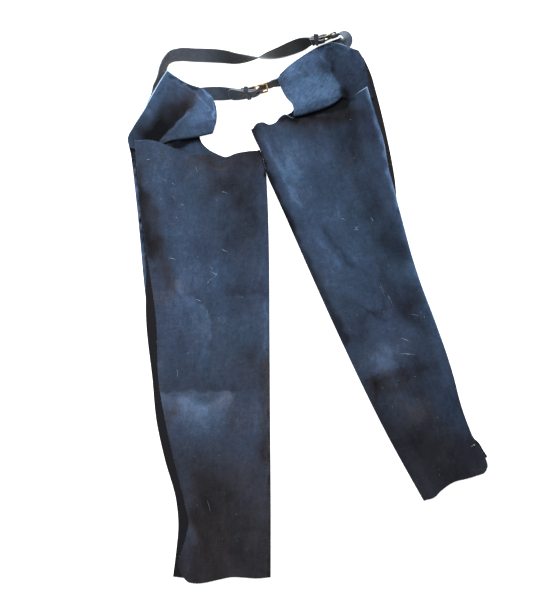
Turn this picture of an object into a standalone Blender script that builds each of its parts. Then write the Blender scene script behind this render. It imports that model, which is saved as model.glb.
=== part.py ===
"""Leather chaps laid flat, back up, on the surface that carries them.

Each leg is one panel of split suede folded round the inner leg, with its front half below and its
back half above. The back half ends under the seat. The front half runs on up to the hip, where a
yoke is sewn over it with its napped inner face up. The yoke's lower edge bulges out and rolls under.
Two 25 mm belts, each with a buckle, join the yokes at the back and at the front. The outer sides
are open and carry a smooth dark closing strip.

Tables are in millimetres, x to the wearer's right as laid, y from hem to waist, z up.
The finished part stands on the middle of its own bounding box.
"""
from collections import namedtuple
from math import cos, pi, radians, sin

import bpy
import numpy as np

MM = 0.001

# leather
WALL = 1.8                # split suede
STRIP_WALL = 1.2          # smooth closing strip
BELT_WALL = 2.4           # two plies glued
KEEPER_WALL = 1.6
SEAM_GAP = 0.3            # between pieces that touch
BELT_WIDTH = 25.0
STRIP_WIDTH = 29.0
STRIP_TOP_WIDTH = 13.0    # it tapers over its last stretch
STRIP_TAPER = 70.0

# how the leg folds
FOLD_RADIUS = 2.6         # of the wall's middle, round the inner leg
FOLD_STEPS = 5
FRONT_MID = WALL / 2      # the front half rests on the surface
BACK_REST = 3.2           # middle of the back half where it lies on the front half
OVER_STRIP = 4.7          # and where the closing strip lies between
FOLD_SETTLE = 50.0        # the back half comes down from the fold over this width
FOLD_STIFF = 20.0         # beside the fold the leather takes no ridges
STRIP_REACH = 34.0        # over the strip the back half stays up to here from its outer edge
STRIP_SETTLE = 22.0       # and comes down over this width
YOKE_REACH = 30.0         # the same below the back half's top, over the yoke
YOKE_SETTLE = 40.0
YOKE_SIDE_SETTLE = 0.15   # share of the back half's width over which it comes down beside the yoke

# the yoke's rolled lower edge
ROLL_RADIUS = 4.0
ROLL_STEPS = 6
RETURN_RUN = 7.0          # what goes back under, to the seam
ROLLED_SHARE = 0.55       # of the hem's length, the rest returns
FLAT_RUN = 5.0            # the same leather where it lies flat under the back half
BULGE_REACH = 0.6         # share of the yoke's depth over which the bulge dies away
HEM_PLAIN = 0.2           # and over which its ridges fade in from the hem

# buckles, the same pair of sizes for both belts
BAR_RADIUS = 1.6
FRAME_LENGTH = 24.0       # heel bar to end bar, centre to centre
FRAME_HALF_WIDTH = 15.6
FRAME_CORNER = 2.4
PRONG_RADIUS = 1.1
PRONG_TAPER = 0.7         # of its radius, at the tip
PRONG_PAST = 2.5          # its tip's reach past the end bar
PRONG_DROP = 0.4          # and how far the tip bends down
PRONG_SLOT = 5.0          # slot in the fold of the strap
TONGUE_SLOT = 3.6         # worn hole in the tongue
PLY_GAP = 0.7             # where the strap is folded back on itself
KEEPER_FROM, KEEPER_TO = -15.0, -8.5
KEEPER_TOP, KEEPER_BOTTOM = 7.85, -4.65  # middle of its wall above and below the strap's line
KEEPER_CORNER = 1.6
STATION_STEP = 11.0       # between a strap's cross-sections

At = namedtuple("At", "x y")
Hem = namedtuple("Hem", "x y z end_z curl")      # curl 1 rolls right under, 0 stays flat
Ridge = namedtuple("Ridge", "x0 y0 x1 y1 rise end_rise half_width")
Station = namedtuple("Station", "x y z roll")    # roll in degrees, 0 lies flat
Heel = namedtuple("Heel", "x y z yaw roll")      # a buckle's heel bar and how it stands
Leg = namedtuple("Leg", "fold back_outer back_hem back_top front_outer front_hem front_top "
                        "strip_outer ridges yoke_lift_top yoke_lift")

LEFT_LEG = Leg(
    fold=(At(-67, -486), At(-67, -346), At(-68, -221), At(-69, -59), At(-70.5, 122), At(-72.5, 190),
          At(-74.3, 228), At(-75.4, 240), At(-78, 252), At(-81.3, 265), At(-84.9, 277), At(-87.5, 283)),
    back_outer=(At(-226, -484), At(-233, -463), At(-224, -430), At(-215, -385), At(-223, -347),
                At(-241, -275), At(-257, -203), At(-268, -140), At(-273, -23), At(-288, 85),
                At(-301, 169), At(-307, 238), At(-311, 299)),
    back_hem=(At(-226, -484), At(-216, -494), At(-203, -497), At(-185, -496), At(-161, -491),
              At(-135, -486), At(-110, -487), At(-90, -488), At(-67, -486)),
    back_top=(At(-311, 299), At(-286, 300), At(-266, 296), At(-252, 290), At(-234, 284),
              At(-212, 276), At(-167, 275), At(-146, 271), At(-126, 278), At(-110, 281),
              At(-87.5, 283)),
    front_outer=(At(-236, -484), At(-230, -436), At(-227, -394), At(-230, -347), At(-250, -275),
                 At(-266, -203), At(-274, -131), At(-285, -41), At(-294, 31), At(-304, 139), At(-309.5, 193),
                 At(-314.5, 238), At(-318.5, 271), At(-322, 293), At(-314, 317)),
    front_hem=(At(-236, -484), At(-194, -486), At(-131, -482), At(-67, -486)),
    front_top=(At(-314, 317), At(-284, 329), At(-239, 337), At(-212, 338), At(-201, 333),
               At(-195, 319), At(-193, 306), At(-190, 298), At(-183, 290), At(-174, 283),
               At(-162, 277), At(-146, 271), At(-126, 269), At(-104, 274), At(-87.5, 283)),
    strip_outer=(At(-243, -485), At(-237, -436), At(-233.5, -394), At(-237.5, -347), At(-257.5, -275),
                 At(-273, -203), At(-280, -131), At(-291.5, -23), At(-292, 31), At(-291, 85),
                 At(-298, 139), At(-303, 193), At(-309, 238), At(-311, 264)),
    ridges=(Ridge(-150, 262, -160, 60, 0.9, 0.4, 22), Ridge(-215, 250, -205, 90, 0.8, 0.3, 26),
            Ridge(-100, -120, -230, -150, 0.9, 0.5, 16)),
    yoke_lift_top=5.6, yoke_lift=0.26)

RIGHT_LEG = Leg(
    fold=(At(208, -349), At(172.5, -286), At(143, -232), At(110, -167), At(75.5, -95), At(42, -23),
          At(10, 48), At(-18, 111), At(-41.5, 166), At(-61.5, 211), At(-69.5, 228), At(-74.2, 240),
          At(-77, 252), At(-80.3, 265), At(-84, 277), At(-88.5, 287), At(-95.5, 301), At(-103, 319)),
    back_outer=(At(320, -294), At(323, -286), At(320, -274), At(310, -256), At(299, -239),
                At(290, -218), At(275, -176), At(261, -122), At(246, -74), At(224, -13),
                At(206, 34), At(188, 88), At(168, 162), At(154, 215), At(145, 248), At(136, 298),
                At(120, 350), At(106, 396)),
    back_hem=(At(320, -294), At(316, -299), At(308, -302), At(286, -309), At(261, -316),
              At(237, -332), At(224, -344), At(208, -349)),
    back_top=(At(106, 396), At(77, 377), At(59, 364), At(31, 350), At(-5, 340), At(-32, 340),
              At(-45, 346), At(-53, 341), At(-61, 331), At(-73, 327), At(-84, 331), At(-96, 328),
              At(-103, 319)),
    front_outer=(At(313, -286), At(297, -252), At(284, -221), At(269, -176), At(255, -122),
                 At(239, -74), At(218, -13), At(200, 34), At(183, 88), At(163, 162), At(153, 231),
                 At(146, 272), At(139, 306), At(128, 358), At(118, 396), At(112, 414)),
    front_hem=(At(313, -286), At(286, -304), At(261, -312), At(234, -328), At(208, -349)),
    front_top=(At(112, 414), At(76, 398), At(31, 380), At(-9, 366), At(-23, 360), At(-33, 349),
               At(-45, 344), At(-58, 329), At(-72, 320), At(-88, 318), At(-103, 319)),
    strip_outer=(At(323, -269), At(315, -257), At(308, -245), At(298, -235), At(286, -211),
                 At(273, -176), At(258, -122), At(243, -74), At(221, -13), At(203, 34),
                 At(186, 88), At(166, 162), At(161, 185), At(156, 231), At(149, 272), At(142, 306),
                 At(130, 358), At(120, 396), At(115, 414), At(107, 434), At(99, 450)),
    ridges=(Ridge(-60, 318, 10, 160, 1.2, 0.4, 16), Ridge(-20, 330, 60, 140, 0.8, 0.3, 18),
            Ridge(110, -120, 190, -130, 0.8, 0.6, 16)),
    yoke_lift_top=6.9, yoke_lift=0.42)

Yoke = namedtuple("Yoke", "outer top front lower rest ridges")

LEFT_YOKE = Yoke(
    outer=(At(-322, 288), At(-324.5, 302), At(-314, 325), At(-292, 360), At(-277, 386), At(-266, 405),
           At(-253, 425)),
    top=(At(-253, 425), At(-238, 415), At(-214, 401), At(-192, 394)),
    front=(At(-170, 316), At(-165, 331), At(-164, 349), At(-168, 369), At(-176, 382), At(-184, 389),
           At(-192, 394)),
    lower=(Hem(-322, 288, 3.3, 3.1, 0), Hem(-302, 284, 3.3, 3.1, 0), Hem(-281, 284, 3.3, 3.1, 0),
           Hem(-268, 288, 3.4, 3.1, 0), Hem(-259, 296, 3.6, 3.1, 0.03), Hem(-249, 301, 5.8, 3.1, 0.2),
           Hem(-238, 304, 8.8, 3.1, 0.65), Hem(-226, 306, 10.7, 3.1, 0.95), Hem(-210, 308, 11.2, 3.1, 1),
           Hem(-193, 311, 11.3, 3.1, 1), Hem(-170, 316, 11.2, 3.1, 1)),
    rest=4.1,
    ridges=(Ridge(-256, 318, -222, 350, 2.0, 1.0, 12), Ridge(-284, 374, -256, 422, 10.5, 10.0, 13)))

RIGHT_YOKE = Yoke(
    outer=(At(117, 378), At(111, 401), At(105, 425), At(99, 447), At(91, 461)),
    top=(At(91, 461), At(79, 465), At(68, 469), At(57, 473), At(41, 475), At(31, 473), At(7, 462),
         At(-21, 443), At(-35, 432), At(-51, 416)),
    front=(At(-26, 346), At(-28, 363), At(-39, 376), At(-50, 396), At(-54, 406), At(-51, 416)),
    lower=(Hem(117, 378, 4.8, 4.8, 0), Hem(97, 372, 4.8, 4.8, 0), Hem(79, 371, 4.8, 4.7, 0),
           Hem(70, 378, 4.9, 4.6, 0), Hem(61, 379, 6.2, 4.2, 0.2), Hem(50, 372, 9.0, 3.4, 0.7),
           Hem(38, 366, 10.8, 3.1, 1), Hem(11, 356, 11.4, 3.1, 1), Hem(-9, 350, 11.4, 3.1, 1),
           Hem(-26, 346, 11.2, 3.1, 1)),
    rest=4.8,
    ridges=(Ridge(-58, 408, 4, 442, 22.5, 2.0, 20), Ridge(56, 474, 82, 468, 4.0, 2.0, 15),
            Ridge(62, 384, 36, 440, 1.2, 0.6, 12)))

Side = namedtuple("Side", "a n")                 # a from the heel bar, n out of the strap's face
Tip = namedtuple("Tip", "a n width")             # rows of the tongue's end, past the keeper
Belt = namedtuple("Belt", "left heel right tip buckle_name")

BACK_BELT = Belt(
    left=(Station(-284, 347, -0.05, 0), Station(-278.5, 361, 1.2, 6), Station(-271, 380, 3.9, 18),
          Station(-268.8, 396, 7.0, 34), Station(-265.5, 411, 11.4, 57), Station(-261.5, 428.5, 13.4, 62),
          Station(-255.5, 442, 12.8, 60),
          Station(-246, 450.5, 9.8, 42), Station(-230, 454, 6.4, 25), Station(-203, 453, 5.0, 17),
          Station(-173, 452, 4.6, 13), Station(-149, 450, 7.8, 28), Station(-130, 447, 11.2, 46),
          Station(-110, 447, 13.6, 68), Station(-90, 448.5, 14.6, 97), Station(-72, 452, 13.5, 127),
          Station(-50, 457.8, 10.8, 152), Station(-31, 464.8, 9.4, 173), Station(-13, 470.5, 12.2, 203),
          Station(2, 474.6, 15.0, 239), Station(13, 476.6, 17.0, 258)),
    heel=Heel(26.5, 478.9, 17.5, 24, 264),
    right=(Station(60, 491.2, 16.2, 291), Station(66.3, 488.6, 14.0, 305), Station(69.4, 482.8, 11.3, 318),
           Station(67.5, 476.3, 7.9, 334), Station(60.5, 471.8, 4.8, 350), Station(50, 468, 3.2, 356),
           Station(38, 463, 2.5, 360), Station(27, 458.5, 2.3, 360)),
    tip=(Tip(-14, 4.7, BELT_WIDTH), Tip(-18, 4.45, 23), Tip(-21, 4.45, 16), Tip(-22.5, 4.45, 8)),
    buckle_name="back")

FRONT_BELT = Belt(
    left=(Station(-216, 380, 0, 0), Station(-188, 383, 0, 0), Station(-172, 384, 0.2, 1),
          Station(-160, 384, 1.9, 8),
          Station(-142, 384, 7.8, 34), Station(-122, 383.5, 13.0, 53)),
    heel=Heel(-97, 387, 17.8, 15, 70),
    right=(Station(-61, 399.5, 14.5, 69), Station(-50, 405, 12.1, 54), Station(-38, 411, 9.0, 36),
           Station(-23, 418, 4.6, 16), Station(-7, 425, 2.4, 2), Station(6, 431, 2.3, 0)),
    tip=(Tip(-15, 4.6, BELT_WIDTH), Tip(-24, 4.4, BELT_WIDTH), Tip(-34, 4.4, BELT_WIDTH), Tip(-40, 4.4, 24),
         Tip(-44, 4.4, 18), Tip(-46.5, 4.4, 9)),
    buckle_name="front")

PLY = (BELT_WALL + PLY_GAP) / 2
HEEL_WRAP = BAR_RADIUS + SEAM_GAP + BELT_WALL / 2

# the strap opens out to wrap the heel bar, and its end lies back under it
TOWARDS_BAR = (Side(-22, PLY), Side(-18.5, PLY), Side(-15, PLY), Side(-11.5, 1.75), Side(-7.5, 2.35))
STRAIGHT_TO = -26.0
WRAP_TURN = 110.0         # degrees either side of the bar's far side
WRAP_STEPS = 10

# the tongue passes under the end bar, over the heel bar and on to its tip
TONGUE_FROM = 46.0
TONGUE = (Side(38, -2.2), Side(32, -HEEL_WRAP), Side(24, -HEEL_WRAP), Side(18, -2.5), Side(12.8, -0.1),
          Side(7, 3.6), Side(1.6, 5.75), Side(-3, 5.95), Side(-8, 5.25))
TONGUE_HOLE = 4           # row of TONGUE at the prong's hole

STRAIGHT_ROWS = (-4, -3.5, 12, 27.5, 28)  # a belt's line is straight through its buckle
LOOK_AHEAD = 0.5          # either side of a place, for its direction

END_STOP = Station(296.5, -249, 0, 35)     # turned with the leg's hem, its height follows the leather
END_STOP_LENGTH = 8.5
END_STOP_RADIUS = 1.2

BLUE_SUEDE = ("suede", (0.045, 0.072, 0.135), 0.95, 0.0)
DARK_SMOOTH = ("closing strip leather", (0.021, 0.021, 0.029), 0.6, 0.0)
BELT_LEATHER = ("belt leather", (0.055, 0.068, 0.092), 0.8, 0.0)
BRASS = ("brass", (0.62, 0.45, 0.2), 0.35, 1.0)


def smooth_step(t):
    """3t^2 - 2t^3 between 0 and 1, level at both ends."""
    t = np.clip(t, 0, 1)
    return t * t * (3 - 2 * t)


def unit(v):
    return v / np.linalg.norm(v, axis=-1, keepdims=True)


def dense_curve(rows, per_span=24):
    """A cubic through the rows of a table, with slopes weighted by the nearer neighbour."""
    rows = np.array(rows, float)
    span = np.linalg.norm(np.diff(rows[:, :min(3, rows.shape[1])], axis=0), axis=1)
    slope = np.diff(rows, axis=0) / span[:, None]
    inner = (slope[:-1] * span[1:, None] + slope[1:] * span[:-1, None]) / (span[:-1] + span[1:])[:, None]
    tangent = np.vstack([slope[:1], inner, slope[-1:]])
    t = np.linspace(0, 1, per_span, endpoint=False)[None, :, None]
    p0, p1 = rows[:-1, None], rows[1:, None]
    m0, m1 = tangent[:-1, None] * span[:, None, None], tangent[1:, None] * span[:, None, None]
    curve = ((2 * t**3 - 3 * t**2 + 1) * p0 + (t**3 - 2 * t**2 + t) * m0
             + (3 * t**2 - 2 * t**3) * p1 + (t**3 - t**2) * m1)
    return np.vstack([curve.reshape(-1, rows.shape[1]), rows[-1:]])


def along(curve):
    """Distance along a dense curve at each of its points."""
    step = np.linalg.norm(np.diff(curve[:, :min(3, curve.shape[1])], axis=0), axis=1)
    return np.concatenate([[0], np.cumsum(step)])


def read_at(curve, distance):
    s = along(curve)
    return np.column_stack([np.interp(distance, s, column) for column in curve.T])


def edge(rows, fractions):
    curve = dense_curve(rows)
    return read_at(curve, np.asarray(fractions) * along(curve)[-1])


def close_ends(count, crowd=0.08):
    """Fractions from 0 to 1 that lie closer together near both ends."""
    t = np.linspace(0, 1, count)
    return t - crowd * np.sin(2 * pi * t)


def patch(left, right, bottom, top, u, v):
    """A Coons patch: the sheet spanned by four edges, rows from bottom to top, columns left to right."""
    u_col, v_col = u[:, None], v[:, None]
    bottom = bottom + (1 - u_col) * (left[0] - bottom[0]) + u_col * (right[0] - bottom[-1])
    top = top + (1 - u_col) * (left[-1] - top[0]) + u_col * (right[-1] - top[-1])
    uu, vv = u[None, :, None], v[:, None, None]
    ruled = ((1 - vv) * bottom[None] + vv * top[None] + (1 - uu) * left[:, None] + uu * right[:, None])
    corners = ((1 - uu) * (1 - vv) * left[0] + uu * (1 - vv) * right[0]
               + (1 - uu) * vv * left[-1] + uu * vv * right[-1])
    return ruled - corners


def ridge_height(x, y, ridges):
    """Soft ridges: exp(-(distance to the ridge line / half width)^2) times the rise there."""
    height = np.zeros_like(x)
    for r in ridges:
        dx, dy = r.x1 - r.x0, r.y1 - r.y0
        t = np.clip(((x - r.x0) * dx + (y - r.y0) * dy) / (dx * dx + dy * dy), 0, 1)
        away = np.hypot(x - r.x0 - t * dx, y - r.y0 - t * dy)
        height += (r.rise + t * (r.end_rise - r.rise)) * np.exp(-(away / r.half_width)**2)
    return height


def mean_direction(points, axis, closed):
    """Unit direction at each point along an axis, the mean of the two neighbouring steps."""
    points = np.moveaxis(points, axis, 0)
    if closed:
        step = unit(np.roll(points, -1, axis=0) - points)
        mean = unit(step + np.roll(step, 1, axis=0))
    else:
        step = unit(np.diff(points, axis=0))
        mean = unit(np.concatenate([step[:1], step[:-1] + step[1:], step[-1:]]))
    return np.moveaxis(mean, 0, axis)


def material(kind):
    name, colour, roughness, metallic = kind
    found = bpy.data.materials.get(name)
    if found:
        return found
    made = bpy.data.materials.new(name)
    made.use_nodes = True
    shader = made.node_tree.nodes["Principled BSDF"]
    shader.inputs["Base Color"].default_value = (*colour, 1)
    shader.inputs["Roughness"].default_value = roughness
    shader.inputs["Metallic"].default_value = metallic
    return made


def add_solid(name, points, faces, kind):
    """Makes one object, in metres, with its faces turned outwards."""
    points = np.asarray(points) * MM
    volume = 0.0
    for f in faces:
        for k in range(1, len(f) - 1):
            volume += np.dot(points[f[0]], np.cross(points[f[k]], points[f[k + 1]]))
    if volume < 0:
        faces = [tuple(reversed(f)) for f in faces]
    mesh = bpy.data.meshes.new(name)
    mesh.from_pydata([tuple(p) for p in points], [], faces)
    mesh.validate()
    mesh.materials.append(material(kind))
    solid = bpy.data.objects.new(name, mesh)
    bpy.context.scene.collection.objects.link(solid)
    return solid


def wall(name, mid, thickness, kind, kept=None, closed=False):
    """A leather wall of even thickness round a grid of middle points, less the cells not kept."""
    rows, cols, _ = mid.shape
    down = mean_direction(mid, 0, closed)
    over = mean_direction(mid, 1, False)
    offset = unit(np.cross(down, over)) * thickness / 2
    points = np.concatenate([(mid + offset).reshape(-1, 3), (mid - offset).reshape(-1, 3)])
    cell_rows = rows if closed else rows - 1
    if kept is None:
        kept = np.ones((cell_rows, cols - 1), bool)
    under = rows * cols

    def is_kept(i, j):
        if closed:
            i %= rows
        return 0 <= i < cell_rows and 0 <= j < cols - 1 and kept[i, j]

    faces = []
    for i in range(cell_rows):
        for j in range(cols - 1):
            if not kept[i, j]:
                continue
            following = (i + 1) % rows
            a, b = i * cols + j, i * cols + j + 1
            c, d = following * cols + j + 1, following * cols + j
            faces.append((a, b, c, d))
            faces.append((a + under, d + under, c + under, b + under))
            for p, q, neighbour in ((a, b, (i - 1, j)), (b, c, (i, j + 1)),
                                    (c, d, (i + 1, j)), (d, a, (i, j - 1))):
                if not is_kept(*neighbour):
                    faces.append((q, p, p + under, q + under))
    used = sorted({index for face in faces for index in face})
    renumber = {old: new for new, old in enumerate(used)}
    faces = [tuple(renumber[index] for index in face) for face in faces]
    return add_solid(name, points[used], faces, kind)


def round_bar(name, path, across, radii, kind, sides=8, closed=False):
    """A bar swept along a path that lies in one plane; across is that plane's normal."""
    path = np.asarray(path, float)
    forward = mean_direction(path, 0, closed)
    across = np.asarray(across, float)
    side = unit(np.cross(forward, across))
    turn = 2 * pi * np.arange(sides) / sides
    radii = np.broadcast_to(radii, len(path))[:, None, None]
    ring = path[:, None] + radii * (np.cos(turn)[None, :, None] * side[:, None]
                                    + np.sin(turn)[None, :, None] * across)
    count = len(path)
    faces = []
    for i in range(count if closed else count - 1):
        for k in range(sides):
            a, b = i * sides + k, i * sides + (k + 1) % sides
            following = (i + 1) % count
            faces.append((a, b, following * sides + (k + 1) % sides, following * sides + k))
    if not closed:
        faces.append(tuple(reversed(range(sides))))
        faces.append(tuple((count - 1) * sides + k for k in range(sides)))
    return add_solid(name, ring.reshape(-1, 3), faces, kind)


def inset_fold(leg, v):
    """The fold's outline moved in by its own radius, and the unit direction that points out of it."""
    fold = edge(leg.fold, v)
    outer = edge(leg.back_outer, v)
    forward = mean_direction(fold, 0, False)
    out = np.column_stack([forward[:, 1], -forward[:, 0]])
    out *= np.sign(np.sum(out * (fold - outer), axis=1))[:, None]
    return fold - out * (FOLD_RADIUS + WALL / 2), out


def back_height(leg, xy, u):
    """Height of the back half's middle: down from the fold, up over strip and yoke, with soft ridges."""
    from_fold = np.linalg.norm(xy - xy[:, -1:], axis=2)
    from_outer = np.linalg.norm(xy - xy[:, :1], axis=2)
    from_top = np.linalg.norm(xy - xy[-1:], axis=2)
    fold_top = FRONT_MID + 2 * FOLD_RADIUS
    height = BACK_REST + (fold_top - BACK_REST) * (1 - smooth_step(from_fold / FOLD_SETTLE))
    near_strip = 1 - smooth_step((from_outer - STRIP_REACH) / STRIP_SETTLE)
    over_strip = BACK_REST + (OVER_STRIP - BACK_REST) * near_strip
    beside_yoke = 1 - smooth_step((u[None, :] - leg.yoke_lift) / YOKE_SIDE_SETTLE)
    near_top = 1 - smooth_step((from_top - YOKE_REACH) / YOKE_SETTLE)
    over_yoke = BACK_REST + (leg.yoke_lift_top - BACK_REST) * near_top * beside_yoke
    height = np.maximum(np.maximum(height, over_strip), over_yoke)
    return height + ridge_height(xy[..., 0], xy[..., 1], leg.ridges) * smooth_step(from_fold / FOLD_STIFF)


def build_leg(name, leg, rows=28, front_cols=8, back_cols=9):
    """One panel: front half, half circle round the inner leg, back half."""
    v = close_ends(rows)
    fold, out = inset_fold(leg, v)
    u_front = np.linspace(0, 1, front_cols)
    front_xy = patch(edge(leg.front_outer, v), fold, edge(leg.front_hem, u_front),
                     edge(leg.front_top, u_front), u_front, v)
    front = np.dstack([front_xy, np.full(front_xy.shape[:2], FRONT_MID)])
    u_back = np.linspace(0, 1, back_cols)
    back_xy = patch(edge(leg.back_outer, v), fold, edge(leg.back_hem, u_back),
                    edge(leg.back_top, u_back), u_back, v)
    back = np.dstack([back_xy, back_height(leg, back_xy, u_back)])
    turn = pi * np.arange(1, FOLD_STEPS) / FOLD_STEPS
    bend_xy = fold[:, None] + out[:, None] * (FOLD_RADIUS * np.sin(turn))[None, :, None]
    bend_z = np.broadcast_to(FRONT_MID + FOLD_RADIUS * (1 - np.cos(turn)), bend_xy.shape[:2])
    bend = np.dstack([bend_xy, bend_z])
    wall(name, np.concatenate([front, bend, back[:, ::-1]], axis=1), WALL, BLUE_SUEDE)


def build_strip(name, leg, inward, rows=24):
    """The closing strip lies on the front half, along its open outer edge."""
    height = FRONT_MID + WALL / 2 + SEAM_GAP + STRIP_WALL / 2
    outer = edge(leg.strip_outer, close_ends(rows, 0.05))
    forward = mean_direction(outer, 0, False)
    side = np.column_stack([forward[:, 1], -forward[:, 0]])
    side *= inward * np.sign(side[:, :1])
    below_top = np.linalg.norm(outer - outer[-1], axis=1)
    width = STRIP_TOP_WIDTH + (STRIP_WIDTH - STRIP_TOP_WIDTH) * smooth_step(below_top / STRIP_TAPER)
    inner = outer + side * width[:, None]
    mid = np.stack([np.column_stack([line, np.full(rows, height)]) for line in (outer, inner)], axis=1)
    wall(name, mid, STRIP_WALL, DARK_SMOOTH)


def hem_profile(drop, curl):
    """How far the yoke's hem runs out and falls, at evenly spaced points.

    A half circle and a return run where curl is 1, a flat run that settles by drop where it is 0.
    """
    t = np.linspace(0, 1, 61)
    turn = pi * np.minimum(t / ROLLED_SHARE, 1)
    returned = np.maximum(t - ROLLED_SHARE, 0) / (1 - ROLLED_SHARE)
    rolled_run = ROLL_RADIUS * np.sin(turn) - RETURN_RUN * returned
    run = curl * rolled_run + (1 - curl) * FLAT_RUN * t
    fall = drop * (curl * (1 - np.cos(turn)) / 2 + (1 - curl) * smooth_step(t))
    profile = np.column_stack([run, fall])
    even = np.linspace(0, along(profile)[-1], ROLL_STEPS + 2)[1:]
    return read_at(profile, even).T


def build_yoke(name, yoke, rows=9, cols=19):
    """The hip piece: a patch of its four edges whose lower edge rolls under where curl is 1.

    Its height falls from the bulge at the rolled edge to its rest, plus soft ridges over the belts.
    """
    u, v = np.linspace(0, 1, cols), np.linspace(0, 1, rows)
    lower = edge(yoke.lower, u)
    xy = patch(edge(yoke.outer, v), edge(yoke.front, v), lower[:, :2], edge(yoke.top, u), u, v)
    bulge = 1 - smooth_step(v / BULGE_REACH)[:, None]
    height = yoke.rest + (lower[None, :, 2] - yoke.rest) * bulge
    height = height + ridge_height(xy[..., 0], xy[..., 1], yoke.ridges) * smooth_step(v / HEM_PLAIN)[:, None]
    sheet = np.dstack([xy, height])
    away = unit(sheet[0, :, :2] - sheet[1, :, :2])
    hem = np.empty((ROLL_STEPS + 1, cols, 3))
    for j, (drop, curl) in enumerate(zip(lower[:, 2] - lower[:, 3], np.clip(lower[:, 4], 0, 1))):
        run, fall = hem_profile(drop, curl)
        hem[:, j, :2] = sheet[0, j, :2] + away[j] * run[:, None]
        hem[:, j, 2] = sheet[0, j, 2] - fall
    wall(name, np.concatenate([hem[::-1], sheet]), WALL, BLUE_SUEDE)


class BeltLine:
    """The line both straps of a belt follow, straight through the buckle, with its own three axes.

    A place is a (along from the heel bar), w (across the strap) and n (out of its face).
    """

    def __init__(self, belt):
        heel = belt.heel
        forward = np.array([cos(radians(heel.yaw)), sin(radians(heel.yaw))])
        straight = []
        for a in STRAIGHT_ROWS:
            x, y = np.array([heel.x, heel.y]) + a * forward
            straight.append(Station(x, y, heel.z, heel.roll))
        self.curve = dense_curve(belt.left + tuple(straight) + belt.right)
        distance = along(self.curve)
        nearest = np.argmin(np.linalg.norm(self.curve[:, :2] - [heel.x, heel.y], axis=1))
        past = np.dot(np.array([heel.x, heel.y]) - self.curve[nearest, :2], forward)
        self.length_left = distance[nearest] + past
        self.length_right = distance[-1] - self.length_left

    def axes(self, a):
        """Place and unit axes on the line at distances a from the heel bar."""
        distance = self.length_left + np.asarray(a, float)
        here = read_at(self.curve, distance)
        ahead = read_at(self.curve, np.minimum(distance + LOOK_AHEAD, along(self.curve)[-1]))
        behind = read_at(self.curve, np.maximum(distance - LOOK_AHEAD, 0))
        tangent = unit(ahead[:, :3] - behind[:, :3])
        left = unit(np.column_stack([-tangent[:, 1], tangent[:, 0], np.zeros(len(tangent))]))
        up = np.cross(tangent, left)
        roll = np.radians(here[:, 3])[:, None]
        across = np.cos(roll) * left + np.sin(roll) * up
        return here[:, :3], tangent, across, np.cross(tangent, across)

    def place(self, a, w, n):
        """World points of places given as equal-length lists of a, w and n."""
        origin, _, across, out = self.axes(a)
        return origin + np.asarray(w, float)[:, None] * across + np.asarray(n, float)[:, None] * out

    def rigid(self, a, w, n):
        """The same on the buckle's own straight axes, for metal, with its across and out directions."""
        middle = FRAME_LENGTH / 2
        origin, tangent, across, out = (row[0] for row in self.axes([middle]))
        points = origin + (a[:, None] - middle) * tangent + w[:, None] * across + n[:, None] * out
        return points, across, out


def strap(name, line, profile, widths, slot, slot_rows):
    """A strap along a belt line: profile rows are (a, n), with a slot in the middle of some rows."""
    profile = np.array(profile, float)
    widths = np.asarray(widths, float)
    half, slot_half = widths / 2, np.full(len(widths), slot / 2)
    between = (half + slot_half) / 2
    columns = [-half, -between, -slot_half, slot_half, between, half]
    mid = np.stack([line.place(profile[:, 0], w, profile[:, 1]) for w in columns], axis=1)
    kept = np.ones((len(profile) - 1, len(columns) - 1), bool)
    kept[slot_rows[0]:slot_rows[1], len(columns) // 2 - 1] = False
    wall(name, mid, BELT_WALL, BELT_LEATHER, kept)


def build_buckle_strap(name, line):
    """The strap that carries the buckle: along the line, round the heel bar and back under itself."""
    count = int((line.length_left + STRAIGHT_TO) / STATION_STEP)
    run = [(a, PLY) for a in np.linspace(-line.length_left, STRAIGHT_TO, count)]
    turns = np.radians(np.linspace(WRAP_TURN, -WRAP_TURN, WRAP_STEPS))
    bend = [(HEEL_WRAP * cos(t), HEEL_WRAP * sin(t)) for t in turns]
    back = [(row.a, -row.n) for row in reversed(TOWARDS_BAR)]
    profile = run + list(TOWARDS_BAR) + bend + back
    first = len(run) + len(TOWARDS_BAR) - 1
    strap(name, line, profile, np.full(len(profile), BELT_WIDTH), PRONG_SLOT, (first, first + len(bend) + 1))


def build_tongue_strap(name, line, tip):
    """The strap that passes through the buckle and ends in a rounded tip."""
    count = int((line.length_right - TONGUE_FROM) / STATION_STEP) + 2
    run = [(a, 0.0) for a in np.linspace(line.length_right, TONGUE_FROM, count)]
    profile = run + list(TONGUE) + [(row.a, row.n) for row in tip]
    widths = [BELT_WIDTH] * (len(run) + len(TONGUE)) + [row.width for row in tip]
    hole = len(run) + TONGUE_HOLE
    strap(name, line, profile, widths, TONGUE_SLOT, (hole, hole + 2))


def build_keeper(name, line):
    """A flat loop round strap and tongue, with rounded corners."""
    half = BELT_WIDTH / 2 + SEAM_GAP + KEEPER_WALL / 2
    loop = []
    for w, n, start in ((half, KEEPER_TOP, 0), (-half, KEEPER_TOP, 90),
                        (-half, KEEPER_BOTTOM, 180), (half, KEEPER_BOTTOM, 270)):
        for turn in np.radians((start, start + 45, start + 90)):
            loop.append((w - np.sign(w) * KEEPER_CORNER + KEEPER_CORNER * cos(turn),
                         n - np.sign(n) * KEEPER_CORNER + KEEPER_CORNER * sin(turn)))
        if start in (0, 180):
            across = np.linspace(loop[-1][0], -loop[-1][0], 6)[1:-1]
            loop += [(between, loop[-1][1]) for between in across]
    loop = np.array(loop)
    mid = np.stack([line.place(np.full(len(loop), a), loop[:, 0], loop[:, 1])
                    for a in (KEEPER_FROM, KEEPER_TO)], axis=1)
    wall(name, mid, KEEPER_WALL, BELT_LEATHER, closed=True)


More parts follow.
